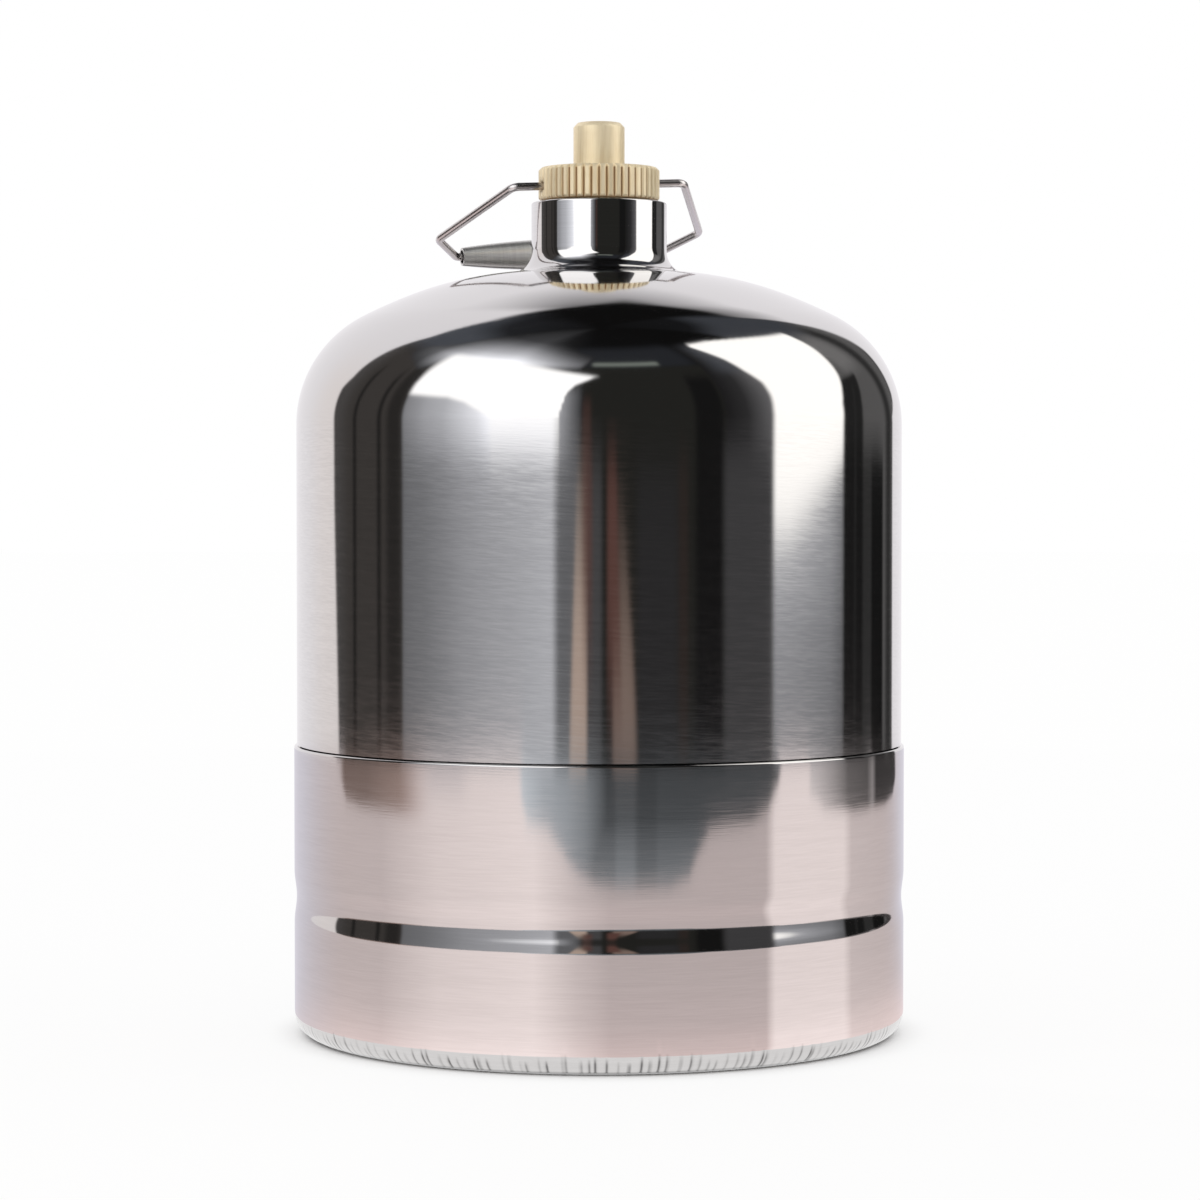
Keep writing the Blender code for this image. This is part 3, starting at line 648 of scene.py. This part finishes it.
class Paint:
    """One node material under construction."""

    def __init__(self, name):
        self.material = bpy.data.materials.new(name)
        self.material.use_nodes = True
        self.tree = self.material.node_tree
        self.shader = self.tree.nodes["Principled BSDF"]
        self.place = self.node("ShaderNodeTexCoord").outputs["Object"]

    def node(self, kind, **settings):
        made = self.tree.nodes.new(kind)
        for key, value in settings.items():
            setattr(made, key, value)
        return made

    def link(self, source, target):
        self.tree.links.new(source, target)

    def put(self, value, socket):
        """Give a socket a number or another node's output."""
        if isinstance(value, (int, float)):
            socket.default_value = value
        else:
            self.link(value, socket)

    def math(self, operation, first, second=0.0, clamp=False):
        made = self.node("ShaderNodeMath", operation=operation, use_clamp=clamp)
        self.put(first, made.inputs[0])
        self.put(second, made.inputs[1])
        return made.outputs[0]

    def weighed(self, first, share, second):
        """Sum of two values, the first with a share and the second with the rest."""
        first = self.math("MULTIPLY", first, share)
        return self.math("ADD", first, self.math("MULTIPLY", second, 1 - share))

    def mix(self, factor, first, second):
        """Value between two values by a factor."""
        made = self.node("ShaderNodeMix", data_type="FLOAT")
        self.link(factor, made.inputs["Factor"])
        self.put(first, made.inputs[2])
        self.put(second, made.inputs[3])
        return made.outputs[0]

    def leaning(self, slope):
        """The object's place with its height changed along X, for strokes that lean."""
        split = self.node("ShaderNodeSeparateXYZ")
        self.link(self.place, split.inputs[0])
        lean = self.math("MULTIPLY", split.outputs["X"], slope)
        made = self.node("ShaderNodeCombineXYZ")
        self.link(split.outputs["X"], made.inputs[0])
        self.link(split.outputs["Y"], made.inputs[1])
        self.link(self.math("ADD", split.outputs["Z"], lean), made.inputs[2])
        return made.outputs[0]

    def noise(self, scale, stretch, detail=3.0, offset=(0.0, 0.0, 0.0), place=None):
        """Noise of the object's place, stretched by a factor for each axis."""
        mapping = self.node("ShaderNodeMapping")
        mapping.inputs["Scale"].default_value = stretch
        mapping.inputs["Location"].default_value = offset
        self.link(place or self.place, mapping.inputs["Vector"])
        made = self.node("ShaderNodeTexNoise")
        made.inputs["Scale"].default_value = scale
        made.inputs["Detail"].default_value = detail
        made.inputs["Roughness"].default_value = 0.55
        self.link(mapping.outputs[0], made.inputs["Vector"])
        return made.outputs["Fac"]

    def band(self, value, low, high, out_low, out_high):
        """Map a value from one range to another, held at both ends."""
        made = self.node("ShaderNodeMapRange", clamp=True, interpolation_type="SMOOTHSTEP")
        self.link(value, made.inputs["Value"])
        for name, number in (("From Min", low), ("From Max", high),
                             ("To Min", out_low), ("To Max", out_high)):
            self.put(number, made.inputs[name])
        return made.outputs["Result"]

    def spread(self, noise, low=0.0, high=1.0):
        """A noise's usual span mapped to a range."""
        return self.band(noise, 0.3, 0.7, low, high)

    def rough(self, value):
        self.link(value, self.shader.inputs["Roughness"])

    def height(self):
        split = self.node("ShaderNodeSeparateXYZ")
        self.link(self.place, split.inputs[0])
        return split.outputs["Z"]

    def colour(self, factor, dark, light):
        """Colour between two shades by a factor."""
        made = self.node("ShaderNodeMix", data_type="RGBA")
        self.link(factor, made.inputs["Factor"])
        made.inputs[6].default_value = (*dark, 1.0)
        made.inputs[7].default_value = (*light, 1.0)
        self.link(made.outputs[2], self.shader.inputs["Base Color"])

    def reach(self):
        """Distance from the Z axis."""
        flat = self.node("ShaderNodeVectorMath", operation="MULTIPLY")
        self.link(self.place, flat.inputs[0])
        flat.inputs[1].default_value = (1.0, 1.0, 0.0)
        made = self.node("ShaderNodeVectorMath", operation="LENGTH")
        self.link(flat.outputs[0], made.inputs[0])
        return made.outputs["Value"]

    def darken(self, factor, amount, shade=(0.05, 0.045, 0.045)):
        """Paint shade into the base colour where the factor is high."""
        socket = self.shader.inputs["Base Color"]
        made = self.node("ShaderNodeMix", data_type="RGBA", blend_type="MULTIPLY")
        self.link(self.math("MULTIPLY", factor, amount), made.inputs["Factor"])
        self.link(socket.links[0].from_socket, made.inputs[6])
        made.inputs[7].default_value = (*shade, 1.0)
        self.link(made.outputs[2], socket)

    def bump(self, height, distance, strength):
        made = self.node("ShaderNodeBump")
        made.inputs["Distance"].default_value = distance
        self.put(strength, made.inputs["Strength"])
        self.link(height, made.inputs["Height"])
        self.link(made.outputs[0], self.shader.inputs["Normal"])

    def cover(self, share, below, above):
        """Surface of one shader lying over another with a share."""
        made = self.node("ShaderNodeMixShader")
        for source, socket in zip((share, below.outputs[0], above.outputs[0]), made.inputs):
            self.link(source, socket)
        self.link(made.outputs[0], self.tree.nodes["Material Output"].inputs["Surface"])

    def brushed_round(self, amount, turn):
        """Stretch the gloss across brushing that runs round the Z axis."""
        tangent = self.node("ShaderNodeTangent", direction_type="RADIAL", axis="Z")
        self.link(tangent.outputs[0], self.shader.inputs["Tangent"])
        self.shader.inputs["Anisotropic"].default_value = amount
        self.shader.inputs["Anisotropic Rotation"].default_value = turn


def metal(name, metallic=1.0):
    paint = Paint(name)
    paint.shader.inputs["Metallic"].default_value = metallic
    return paint


def shell_steel():
    """Polished dome and neck, fading at the shoulder into a brushed wall."""
    paint = metal("shell_steel")
    height = paint.height()
    wall = paint.band(height, 107 * MM, 114 * MM, 1.0, 0.0)
    fine = paint.noise(1.0, (300, 300, 3600), 2.0, place=paint.leaning(0.06))
    broad = paint.noise(1.0, (60, 60, 1200), offset=(3.0, 1.0, 5.0), place=paint.leaning(0.04))
    streaks = paint.weighed(fine, 0.6, broad)
    shade = paint.mix(wall, 0.7, paint.spread(streaks))
    paint.colour(shade, (0.655, 0.642, 0.637), (0.725, 0.712, 0.705))
    polished = paint.spread(paint.noise(90.0, (1, 1, 1)), 0.05, 0.07)
    paint.rough(paint.mix(wall, polished, paint.spread(streaks, 0.055, 0.085)))
    paint.bump(streaks, 0.0017 * MM, wall)
    paint.brushed_round(0.8, 0.25)
    return paint.material


def cup_steel():
    """Satin sleeve, with a bright rolled bead and faint lathe lines, painted shade and dirt in the crimp
    marks and painted shade along the foot.
    """
    paint = metal("cup_steel")
    height = paint.height()
    off = paint.math("ABSOLUTE", paint.math("SUBTRACT", height, BEAD_HEIGHT))
    satin = paint.band(off, 3.4 * MM, 5.2 * MM, 0.0, 1.0)
    fine = paint.noise(1.0, (170, 170, 4200), 2.0, offset=(7.0, 2.0, 1.0))
    broad = paint.noise(1.0, (22, 22, 800), offset=(2.0, 9.0, 4.0))
    streaks = paint.weighed(fine, 0.55, broad)
    paint.colour(paint.spread(streaks), (0.645, 0.63, 0.625), (0.69, 0.675, 0.67))
    # Painted shade and dirt in the crimp marks, darkest where they are pressed deepest.
    crease_dirt_and_shade = paint.node("ShaderNodeAttribute", attribute_name="crease_dirt_and_shade").outputs["Fac"]
    # Painted shade: the lowest 0.9 mm of the cup is darkened where it meets the floor.
    foot = paint.band(height, 0.9 * MM, 0.2 * MM, 0.0, 0.95)
    paint.darken(paint.math("ADD", paint.math("MULTIPLY", crease_dirt_and_shade, 1.2), foot, clamp=True), 0.85)
    paint.rough(paint.mix(satin, 0.045, paint.spread(streaks, 0.04, 0.065)))
    paint.bump(streaks, 0.0014 * MM, satin)
    paint.brushed_round(0.5, 0.25)
    return paint.material


def base_steel():
    """Dull pressed sheet with faint drawing rings."""
    paint = metal("base_steel")
    cloud = paint.noise(60.0, (1, 1, 1), 4.0)
    paint.colour(paint.spread(cloud), (0.54, 0.52, 0.50), (0.64, 0.62, 0.60))
    paint.rough(paint.band(cloud, 0.25, 0.75, 0.28, 0.42))
    paint.bump(paint.noise(900.0, (1, 1, 1)), 0.01 * MM, 0.6)
    return paint.material


def collar_steel():
    """Mirror polish with the last traces of turning."""
    paint = metal("collar_steel")
    lines = paint.noise(1.0, (40, 40, 6500), 2.0)
    paint.colour(paint.spread(lines), (0.72, 0.71, 0.71), (0.76, 0.75, 0.75))
    paint.rough(paint.spread(lines, 0.03, 0.06))
    paint.bump(lines, 0.001 * MM, 0.5)
    return paint.material


def wire_steel():
    """Smooth drawn wire."""
    paint = metal("wire_steel")
    drawn = paint.noise(120.0, (1, 1, 1), 2.0)
    paint.colour(paint.spread(drawn), (0.71, 0.675, 0.67), (0.75, 0.715, 0.71))
    paint.rough(paint.spread(drawn, 0.24, 0.28))
    return paint.material


def grip_steel():
    """Rolled sheet with its grain round the barrel, with painted shade inside the bore at its ends."""
    paint = metal("grip_steel", 0.9)
    drawn = paint.noise(1.0, (160, 160, 2400), 2.0)
    paint.colour(paint.spread(drawn), (0.68, 0.67, 0.65), (0.74, 0.735, 0.71))
    mouth = GRIP_END_RADIUS - GRIP_WALL
    # Painted shade inside the bore, near both ends of the barrel.
    paint.darken(paint.band(paint.reach(), mouth + 0.05 * MM, mouth + 0.15 * MM, 1.0, 0.0), 0.9)
    paint.rough(paint.spread(drawn, 0.40, 0.46))
    paint.brushed_round(0.7, 0.25)
    return paint.material


def brass(name, dark, light, rough_low, rough_high, stretch, bump, metallic=1.0, shaded_grooves=False):
    """Turned brass, its tool marks given by the stretch of the noise, with painted shade in the knurl's roots
    when asked.
    """
    paint = metal(name, metallic)
    marks = paint.noise(1.0, stretch)
    cloud = paint.noise(160.0, (1, 1, 1), offset=(4.0, 4.0, 4.0))
    paint.colour(paint.band(paint.weighed(marks, 0.6, cloud), 0.32, 0.68, 0.0, 1.0), dark, light)
    paint.rough(paint.spread(marks, rough_low, rough_high))
    paint.bump(marks, bump, 0.8)
    if shaded_grooves:
        # Painted shade: the roots of the knurl's grooves are darkened to a warm brown, fading out at the top
        # chamfer.
        top = CAP_BOTTOM + RING_HEIGHT - KNURL_CHAMFER
        root = CAP_RADIUS - KNURL_DEPTH
        deep = paint.band(paint.reach(), root, root + 0.65 * KNURL_DEPTH, 1.0, 0.0)
        side = paint.band(paint.height(), top - 0.2 * MM, top, 1.0, 0.0)
        paint.darken(paint.math("MULTIPLY", deep, side), 0.85, (0.34, 0.19, 0.08))
    return paint.material


def rubber(name, shade):
    paint = Paint(name)
    grain = paint.noise(1400.0, (1, 1, 1))
    paint.colour(paint.spread(grain), tuple(0.7 * c for c in shade), shade)
    paint.rough(paint.spread(grain, 0.5, 0.7))
    paint.bump(grain, 0.01 * MM, 0.7)
    return paint.material


# Studio

def studio_object(name, mesh, material):
    obj = linked(name, mesh, material)
    return obj


def between(value, low, high, fade):
    return smooth(value, low - fade / 2, low + fade / 2) * smooth(value, high + fade / 2, high - fade / 2)


def along(value, stops):
    """Straight-line reading of (position, value) stops."""
    if value <= stops[0][0]:
        return stops[0][1]
    for (x0, y0), (x1, y1) in zip(stops, stops[1:]):
        if value <= x1:
            return y0 + (y1 - y0) * (value - x0) / (x1 - x0)
    return stops[-1][1]


def layered(under, over, share):
    return tuple(u + (o - u) * share for u, o in zip(under, over))


def tint(colour, strength):
    return tuple(strength * channel for channel in colour)


def tent_light(a, e):
    """Light of the studio tent in a direction, given in degrees.

    Azimuth 0 is towards the camera and positive to its right. Elevation is from level.
    """
    light = CEILING

    def lay(colour, share):
        """Lay a colour over the light so far."""
        nonlocal light
        light = layered(light, colour, share)

    # pale haze on the ceiling's edge
    lay(HAZE, between(a, -150, -78, 40) * between(e, 46, 68, 14))
    lay(tint(HAZE, 0.3), between(a, -25, 48, 14) * between(e, 46, 67, 10))
    lay(tint(HAZE, 0.7), between(a, 100, 148, 12) * between(e, 36, 68, 10))
    # dark room left of the left softbox, with its two doorposts
    lay(ROOM_LEFT, between(a, -118, -76, 3) * smooth(e, 54, 42))
    lay(ROOM_SPILL, 0.2 * smooth(a, -106, -116) * smooth(e, 50, 36))
    lay(BLACK, 0.6 * between(a, -86, -79, 4) * smooth(e, 46, 34))
    for post in (-104, -90):
        lay(BLACK, 0.8 * between(a, post - 1, post + 1, 2) * smooth(e, 40, 26))
    # dark room in front, darkest next to the right softbox
    lay(ROOM_FRONT, between(a, -24, 66, 12) * smooth(e, 50, 46))
    lay(BLACK, between(a, 36, 47, 3) * smooth(e, 44, 32))
    lay(tint(ROOM_SPILL, along(a, [(48, 0.09), (57, 0.2), (62, 0.5), (68, 0.9)])), smooth(a, 47, 49)
        * smooth(a, 90, 80) * smooth(e, 68, 56))
    lay(HAZE, 0.7 * smooth(a, 48, 60) * smooth(a, 90, 80) * between(e, 40, 64, 10))
    lay(SHELF, between(a, -3, 29, 3) * between(e, 49.6, 52.6, 3.2))
    # room on the right, with a dark bow beside the softbox
    lay(ROOM_RIGHT, between(a, 102, 150, 4) * smooth(e, 48, 36))
    lay(tint(ROOM_RIGHT, 1.8), 0.9 * between(a, 120, 134, 8) * between(e, 25, 44, 10))
    lay(tint(ROOM_RIGHT, 0.3), between(a, 137, 143, 5) * smooth(e, 46, 38))
    lay(ARC_RIGHT, between(a, 102, 132, 8) * smooth(e, 3, 1))
    lay(BLACK, between(a, 124, 134, 2) * smooth(e, 2, 1))
    bow = along(e, [(-8, 111), (6, 111.5), (12, 113), (18, 116), (23, 119)])
    lay(BLACK, 0.9 * between(a, bow - 7, bow + 6, 2.5) * smooth(e, 25, 23))
    lay(ARC_RIGHT, 0.7 * between(a, bow, bow + 1, 2) * smooth(e, 22, 18))
    # left softbox, its glow on the ceiling, and the boards under it
    board = along(a, [(-78, 0.19), (-68, 0.23), (-59, 0.30), (-51, 0.38), (-43, 0.43), (-30, 0.50),
                      (-16, 0.60)])
    lay(tint(COOL, board), between(a, -78, -14.5, 2) * smooth(e, 22, 20))
    band = along(a, [(-78, 0.30), (-72, 0.40), (-68, 0.50), (-60, 0.61), (-52, 0.88), (-46, 1.12),
                     (-40, 1.6)])
    lay(tint(COOL, band), between(a, -78, -14.5, 2) * smooth(e, 1.3, 3.0) * smooth(e, 24, 20))
    lay(tint(COOL, along(a, [(-14, 0.45), (-10, 0.2), (-6, 0.03)])), between(a, -16, -6, 3)
        * smooth(e, 40, 20))
    lay(tint(COOL, 0.16), between(a, -16, -8, 4) * smooth(e, 3, 0.5))
    edge = along(a, [(-80, 51), (-45, 51), (-28, 47.5), (-3, 40)])
    glow = along(e - edge, [(0, 1.5), (3, 1.0), (7, 0.62), (12, 0.34), (16, 0.16), (20, 0.06), (24, 0.02)])
    side = along(a, [(-112, 0.0), (-92, 0.12), (-80, 0.55), (-65, 1.0), (-40, 1.25), (-25, 0.85),
                     (-12, 0.5), (0, 0.22), (14, 0.0)])
    start = 44 + 8 * smooth(a, -10, -2) - 10 * smooth(a, -76, -86)
    glow *= side * smooth(e, start, start + 8 + 12 * smooth(a, -76, -86))
    light = tuple(max(old, new) for old, new in zip(light, tint(COOL, glow)))
    low = along(a, [(-80, 20.5), (-60, 19.5), (-52, 16), (-45, 9), (-40, 3), (-15, 3), (-12.5, 25),
                    (-9.5, 32), (-2, 39)])
    far = along(e, [(20, -78), (28, -78.5), (50, -77)])
    lay(SOFTBOX_LEFT, smooth(a, far - 1.5 - 4 * smooth(e, 28, 48), far + 1.5) * smooth(a, 1, -4)
        * smooth(e, low - 2, low + 2) * smooth(e, edge + 3, edge - 2))
    # boards along the floor in front, and the two brown posts over them
    lay(tint(ROOM_SPILL, 0.36), between(a, 47, 67, 4) * smooth(e, 2.6, 1.8))
    lay(POST_RED, 0.35 * between(a, -6, -3, 2) * smooth(e, 30, 8))
    spread = max(0.0, 2 - e)
    lay(tint(ROOM_SPILL, 0.45), between(a, -6, 1, 2) * smooth(e, 3, 0))
    lay(POST_LEFT, between(a, -7.5 - 0.35 * spread, -4.5, 1.5) * smooth(e, 3, -5))
    lay(POST_RED, 0.8 * between(a, -6, -2.5, 2) * smooth(e, 3, 0) * smooth(e, -7, -1))
    lay(POST_RIGHT, between(a, 5, 7 + 0.8 * spread, 2) * smooth(e, 1.5, -6))
    lay(POST_RED, between(a, 3, 6 + 0.3 * spread, 2) * smooth(e, 3, 0) * smooth(e, -8, -3))
    lay(POST_RED, 0.12 * between(a, 29, 33, 2) * smooth(e, 3, 0))
    lay(tint(ROOM_SPILL, 0.18), between(a, 14, 29, 4) * smooth(e, 2, 0))
    # right softbox and the fading foot under it
    left_end = along(e, [(0, 68), (10, 68.4), (20, 69.4), (30, 69.5), (40, 66.5), (50, 65), (66, 60)])
    right_end = along(e, [(1, 103.5), (12, 105), (18, 108), (26, 113.5), (35, 118.5), (45, 125.5), (49, 129)])
    high = along(a, [(58, 62), (65, 65.2), (80, 64.5), (90, 62.6), (100, 60), (110, 56.6), (117, 53.8),
                     (123, 51.2), (130, 48)])
    low = along(a, [(68, -1.0), (75, -0.9), (85, -0.2), (95, 0.6), (104, 1.5)])
    foot = along(a, [(66, 0.46), (82, 0.40), (96, 0.32), (103, 0.2)])
    foot *= along(e, [(-8, 0.7), (-4, 0.85), (-1, 1.25)])
    colour = layered(tint(COOL, foot), SOFTBOX_RIGHT, smooth(e, low - 0.8, low + 0.8))
    lay(colour, smooth(a, left_end - 1.5, left_end + 1.5)
        * smooth(a, right_end + 1.5, right_end - 1.0) * smooth(e, high + 1.5, high - 1.0))
    # white paper behind, paler towards its top
    high = along(a, [(-180, 53), (-175, 57), (-168, 60), (-160, 62), (-150, 63.5), (-140, 64), (-133, 62.5),
                     (-126, 60), (-120, 56), (-116, 52)])
    fall = along(e, [(41, 1.0), (46, 0.7), (50, 0.45), (54, 0.25), (60, 0.15)])
    fall = 1 + (fall - 1) * smooth(a, -155, -178)
    left_end = along(e, [(-8, -114.5), (0, -118), (18, -119), (24, -117), (56, -117)])
    paper = layered(PAPER, PAPER_WARM, smooth(a, -145, -122) * smooth(e, 45, 15))
    lay(tint(paper, fall), smooth(a, left_end + 1, left_end - 1) * smooth(e, high + 1.8, high - 1.8))
    high = along(a, [(147, 54), (150, 55), (165, 53.5), (172, 51), (176, 50.5), (180, 53)])
    fall = along(e, [(41, 1.0), (46, 0.7), (50, 0.45), (54, 0.25)])
    right_end = along(e, [(4, 145), (8, 150), (20, 151), (30, 148.5), (40, 147)])
    lay(tint(PAPER, fall), smooth(a, right_end - 1, right_end + 1) * smooth(e, high + 1.8, high - 1.8))
    return light


def table_light(a, r):
    """Light and cover of the table's sheen and of the dark cloths on it, r from the axis."""
    sheen = along(a, [(-122, 0.12), (-88, 0.15), (-62, 0.7), (-24, 1.0), (-8, 0.33), (4, 0.0), (64, 0.0),
                      (68, 0.93), (103, 0.93), (108, 0.3), (140, 0.05)])
    near = along(r, [(62, 2.0), (110, 1.2), (170, 1.0)])
    bare = (*tint(layered(TABLE_DARK, TABLE_LIGHT, sheen), 1 + (near - 1) * (1 - 0.7 * sheen)), 0.6)
    far = smooth(-a, 106, 148) if a < 0 else smooth(a, 128, 158)
    bare = layered(bare, (0.70, 0.67, 0.76, 0.8), far)
    brown = smooth(a, -114, -109) * smooth(a, -62, -80)
    edge = along(a, [(-112, 635), (-108, 562), (-100, 542), (-85, 532), (-70, 522), (-62, 550)])
    deep = along(a, [(-111, 0.72), (-96, 0.76), (-84, 1.05), (-70, 1.4)])
    light = layered(bare, (0.34 * deep, 0.25 * deep, 0.223 * deep, 1.0),
                    brown * smooth(r, edge - 12, edge + 12))
    light = layered(light, (0.5, 0.48, 0.52, 0.9), 0.45 * between(a, -66, -50, 8) * smooth(r, 560, 660))
    # middle cloth, with a round lappet towards the object
    edge = along(a, [(-30, 640), (-26, 520), (-19, 498), (-16, 465), (-11, 405), (-7, 374), (-1, 350),
                     (8, 340), (26, 341), (33, 364), (37, 432), (41, 488), (47, 503), (58, 512), (65, 556),
                     (69, 636), (72, 750)])
    depth = along(r, [(345, 0.31), (400, 0.24), (480, 0.17), (520, 0.1), (740, 0.08)])
    depth = max(depth, along(a, [(-29, 0.9), (-20, 0.60), (-12, 0.50), (-5, 0.35), (3, 0.1)]))
    depth *= 1 + 0.25 * between(a, 6, 13, 2) - 0.15 * between(a, 14, 21, 2)
    light = layered(light, (0.86 * depth, 0.93 * depth, depth, 1.0),
                    between(a, -29, 71, 3) * smooth(r, edge - 14, edge + 14))
    edge = along(a, [(86, 590), (92, 540), (110, 516), (122, 518), (134, 523), (142, 548), (147, 630)])
    depth = along(a, [(84, 0.85), (90, 0.67), (100, 0.36), (106, 0.18), (119, 0.13), (123, 0.34),
                      (126, 0.06), (146, 0.06)])
    light = layered(light, (0.98 * depth, 0.91 * depth, 0.91 * depth, 1.0),
                    between(a, 84, 146, 3) * smooth(r, edge - 12, edge + 12))
    return light


def mirror_point(azimuth):
    """Where on the wall the camera sees a given azimuth."""
    facing = azimuth / 2
    for _ in range(8):
        to_eye = math.atan2(-BODY_RADIUS * math.sin(facing),
                            EYE_DISTANCE - BODY_RADIUS * math.cos(facing))
        facing = (azimuth + to_eye) / 2
    point = Vector((BODY_RADIUS * math.sin(facing), -BODY_RADIUS * math.cos(facing)))
    return point * smooth(abs(math.degrees(azimuth)), 180, 115)


def make_tent():
    """Round tent of light and dark cloth, seen in the gloss alone."""
    levels = [-8 + 0.5 * i for i in range(28)] + [6 + 1.3 * i for i in range(51)]
    rings = [62 * MM, 110 * MM, 170 * MM, 240 * MM]
    rings += [330 * MM + (TENT_RADIUS - 330 * MM) * i / 42 for i in range(43)]
    bm = bmesh.new()
    layer = bm.verts.layers.float_color.new("glow")
    walls = []
    for i in range(TENT_COLUMNS + 1):
        degrees = -180 + 360 * i / TENT_COLUMNS
        azimuth = math.radians(degrees)
        start = mirror_point(azimuth)
        way = Vector((math.sin(azimuth), -math.cos(azimuth)))
        wall = []
        for ring in rings:
            reach = -start.dot(way) + math.sqrt(start.dot(way) ** 2 + ring ** 2 - start.length ** 2)
            foot = start + way * reach
            vert = bm.verts.new((foot.x, foot.y, CLOTH_LIFT))
            vert[layer] = table_light(degrees, ring / MM)
            if ring == rings[-1]:
                vert[layer] = (*tent_light(degrees, levels[0]), 1.0)
            wall.append(vert)
        for level in levels:
            knuckle = KNUCKLE_RADIUS * math.sin(math.radians(max(level, 0) / 2))
            z = TENT_CENTRE + knuckle + reach * math.tan(math.radians(level))
            vert = bm.verts.new((foot.x, foot.y, max(z, CLOTH_LIFT)))
            vert[layer] = (*tent_light(degrees, level), 1.0)
            wall.append(vert)
        walls.append(wall)
    top = bm.verts.new((0, 0, TENT_TOP))
    top[layer] = (*CEILING, 1.0)
    for left, right in zip(walls, walls[1:]):
        for j in range(len(left) - 1):
            bm.faces.new((left[j], right[j], right[j + 1], left[j + 1]))
        bm.faces.new((left[-1], right[-1], top))
    paint = Paint("tent_cloth")
    paint.material.cycles.emission_sampling = "NONE"
    colour = paint.node("ShaderNodeAttribute", attribute_name="glow")
    light = paint.node("ShaderNodeEmission")
    paint.link(colour.outputs["Color"], light.inputs["Color"])
    paint.cover(colour.outputs["Alpha"], paint.node("ShaderNodeBsdfTransparent"), light)
    tent = studio_object("tent", finished("tent", bm), paint.material)
    tent.visible_camera = False
    tent.visible_diffuse = False
    tent.visible_shadow = False
    tent.visible_transmission = False


def make_floor():
    """Plain pale floor."""
    bm = bmesh.new()
    bmesh.ops.create_circle(bm, cap_ends=True, segments=96, radius=FLOOR_RADIUS)
    paint = Paint("floor_white")
    paint.shader.inputs["Base Color"].default_value = (0.95, 0.945, 0.94, 1.0)
    paint.shader.inputs["Roughness"].default_value = 0.6
    paint.shader.inputs["Specular IOR Level"].default_value = 0.2
    open_air = paint.node("ShaderNodeAmbientOcclusion", samples=8)
    open_air.inputs["Distance"].default_value = CONTACT_REACH
    bare = paint.node("ShaderNodeMapRange")
    bare.inputs["From Min"].default_value = 0.12
    bare.inputs["From Max"].default_value = 0.8
    bare.inputs["To Max"].default_value = WHITE_SHARE
    paint.link(open_air.outputs["AO"], bare.inputs["Value"])
    ray = paint.node("ShaderNodeLightPath").outputs
    seen = paint.math("MULTIPLY", ray["Is Camera Ray"], bare.outputs["Result"])
    mirrored = paint.math("MAXIMUM", ray["Is Glossy Ray"], ray["Is Transmission Ray"])
    share = paint.math("MAXIMUM", seen, paint.math("MULTIPLY", mirrored, WHITE_SHARE))
    paint.cover(share, paint.shader, paint.node("ShaderNodeEmission"))
    studio_object("floor", finished("floor", bm), paint.material)


def make_world():
    """Plain white surroundings."""
    world = bpy.data.worlds.new("studio")
    world.use_nodes = True
    bpy.context.scene.world = world
    white = world.node_tree.nodes["Background"]
    white.inputs["Color"].default_value = (1.0, 1.0, 1.0, 1.0)
    white.inputs["Strength"].default_value = 1.0


def make_camera():
    data = bpy.data.cameras.new("camera")
    data.lens = LENS
    data.sensor_width = SENSOR
    data.shift_x = AXIS_SHIFT
    data.clip_start = 0.01
    data.clip_end = 50.0
    camera = linked("camera", data)
    camera.location = (0.0, -EYE_DISTANCE, EYE_HEIGHT)
    camera.rotation_euler = (math.pi / 2 - EYE_PITCH, 0.0, 0.0)
    bpy.context.scene.camera = camera


def dress(obj, node, body):
    """Let a fine piece stand for a solid and move with its body."""
    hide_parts(node)
    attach(obj, body)


def repaint(node, material):
    """Give a solid that stays a finished material."""
    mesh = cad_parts[node].data
    mesh.materials.clear()
    mesh.materials.append(material)


def make_canister():
    dress(make_shell(shell_steel()), "upper_shell", "canister")
    dress(make_cup(cup_steel()), "lower_cup", "canister")
    dress(make_base(base_steel()), "base_dish", "canister")
    dress(make_collar(collar_steel()), "neck_collar", "canister")
    turned_brass = brass("valve_brass", (0.70, 0.52, 0.24), (0.84, 0.67, 0.36), 0.16, 0.30,
                         (60, 60, 4200), 0.004 * MM)
    cap_brass = brass("cap_brass", (0.87, 0.72, 0.47), (0.97, 0.84, 0.59), 0.40, 0.50,
                      (2600, 2600, 160), 0.006 * MM, 0.42, shaded_grooves=True)
    dress(make_valve(turned_brass), "valve_body", "canister")
    spring = make_spring(wire_steel())
    dress(spring, "valve_spring", "canister")
    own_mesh(spring)
    dress(make_cap(cap_brass), "dust_cap", "cap")
    dress(make_bail_wire(wire_steel()), "bail_wire", "bail")
    dress(make_grip(grip_steel()), "bail_grip", "grip")
    for node in ("valve_pin", "spring_retainer"):
        repaint(node, turned_brass)
    black = rubber("seal_rubber", (0.045, 0.045, 0.045))
    for node in ("body_gasket", "stem_seal", "cap_washer"):
        repaint(node, black)


make_camera()
make_world()
make_floor()
make_tent()
make_canister()
bpy.context.scene.view_settings.view_transform = "Standard"
bpy.context.view_layer.update()
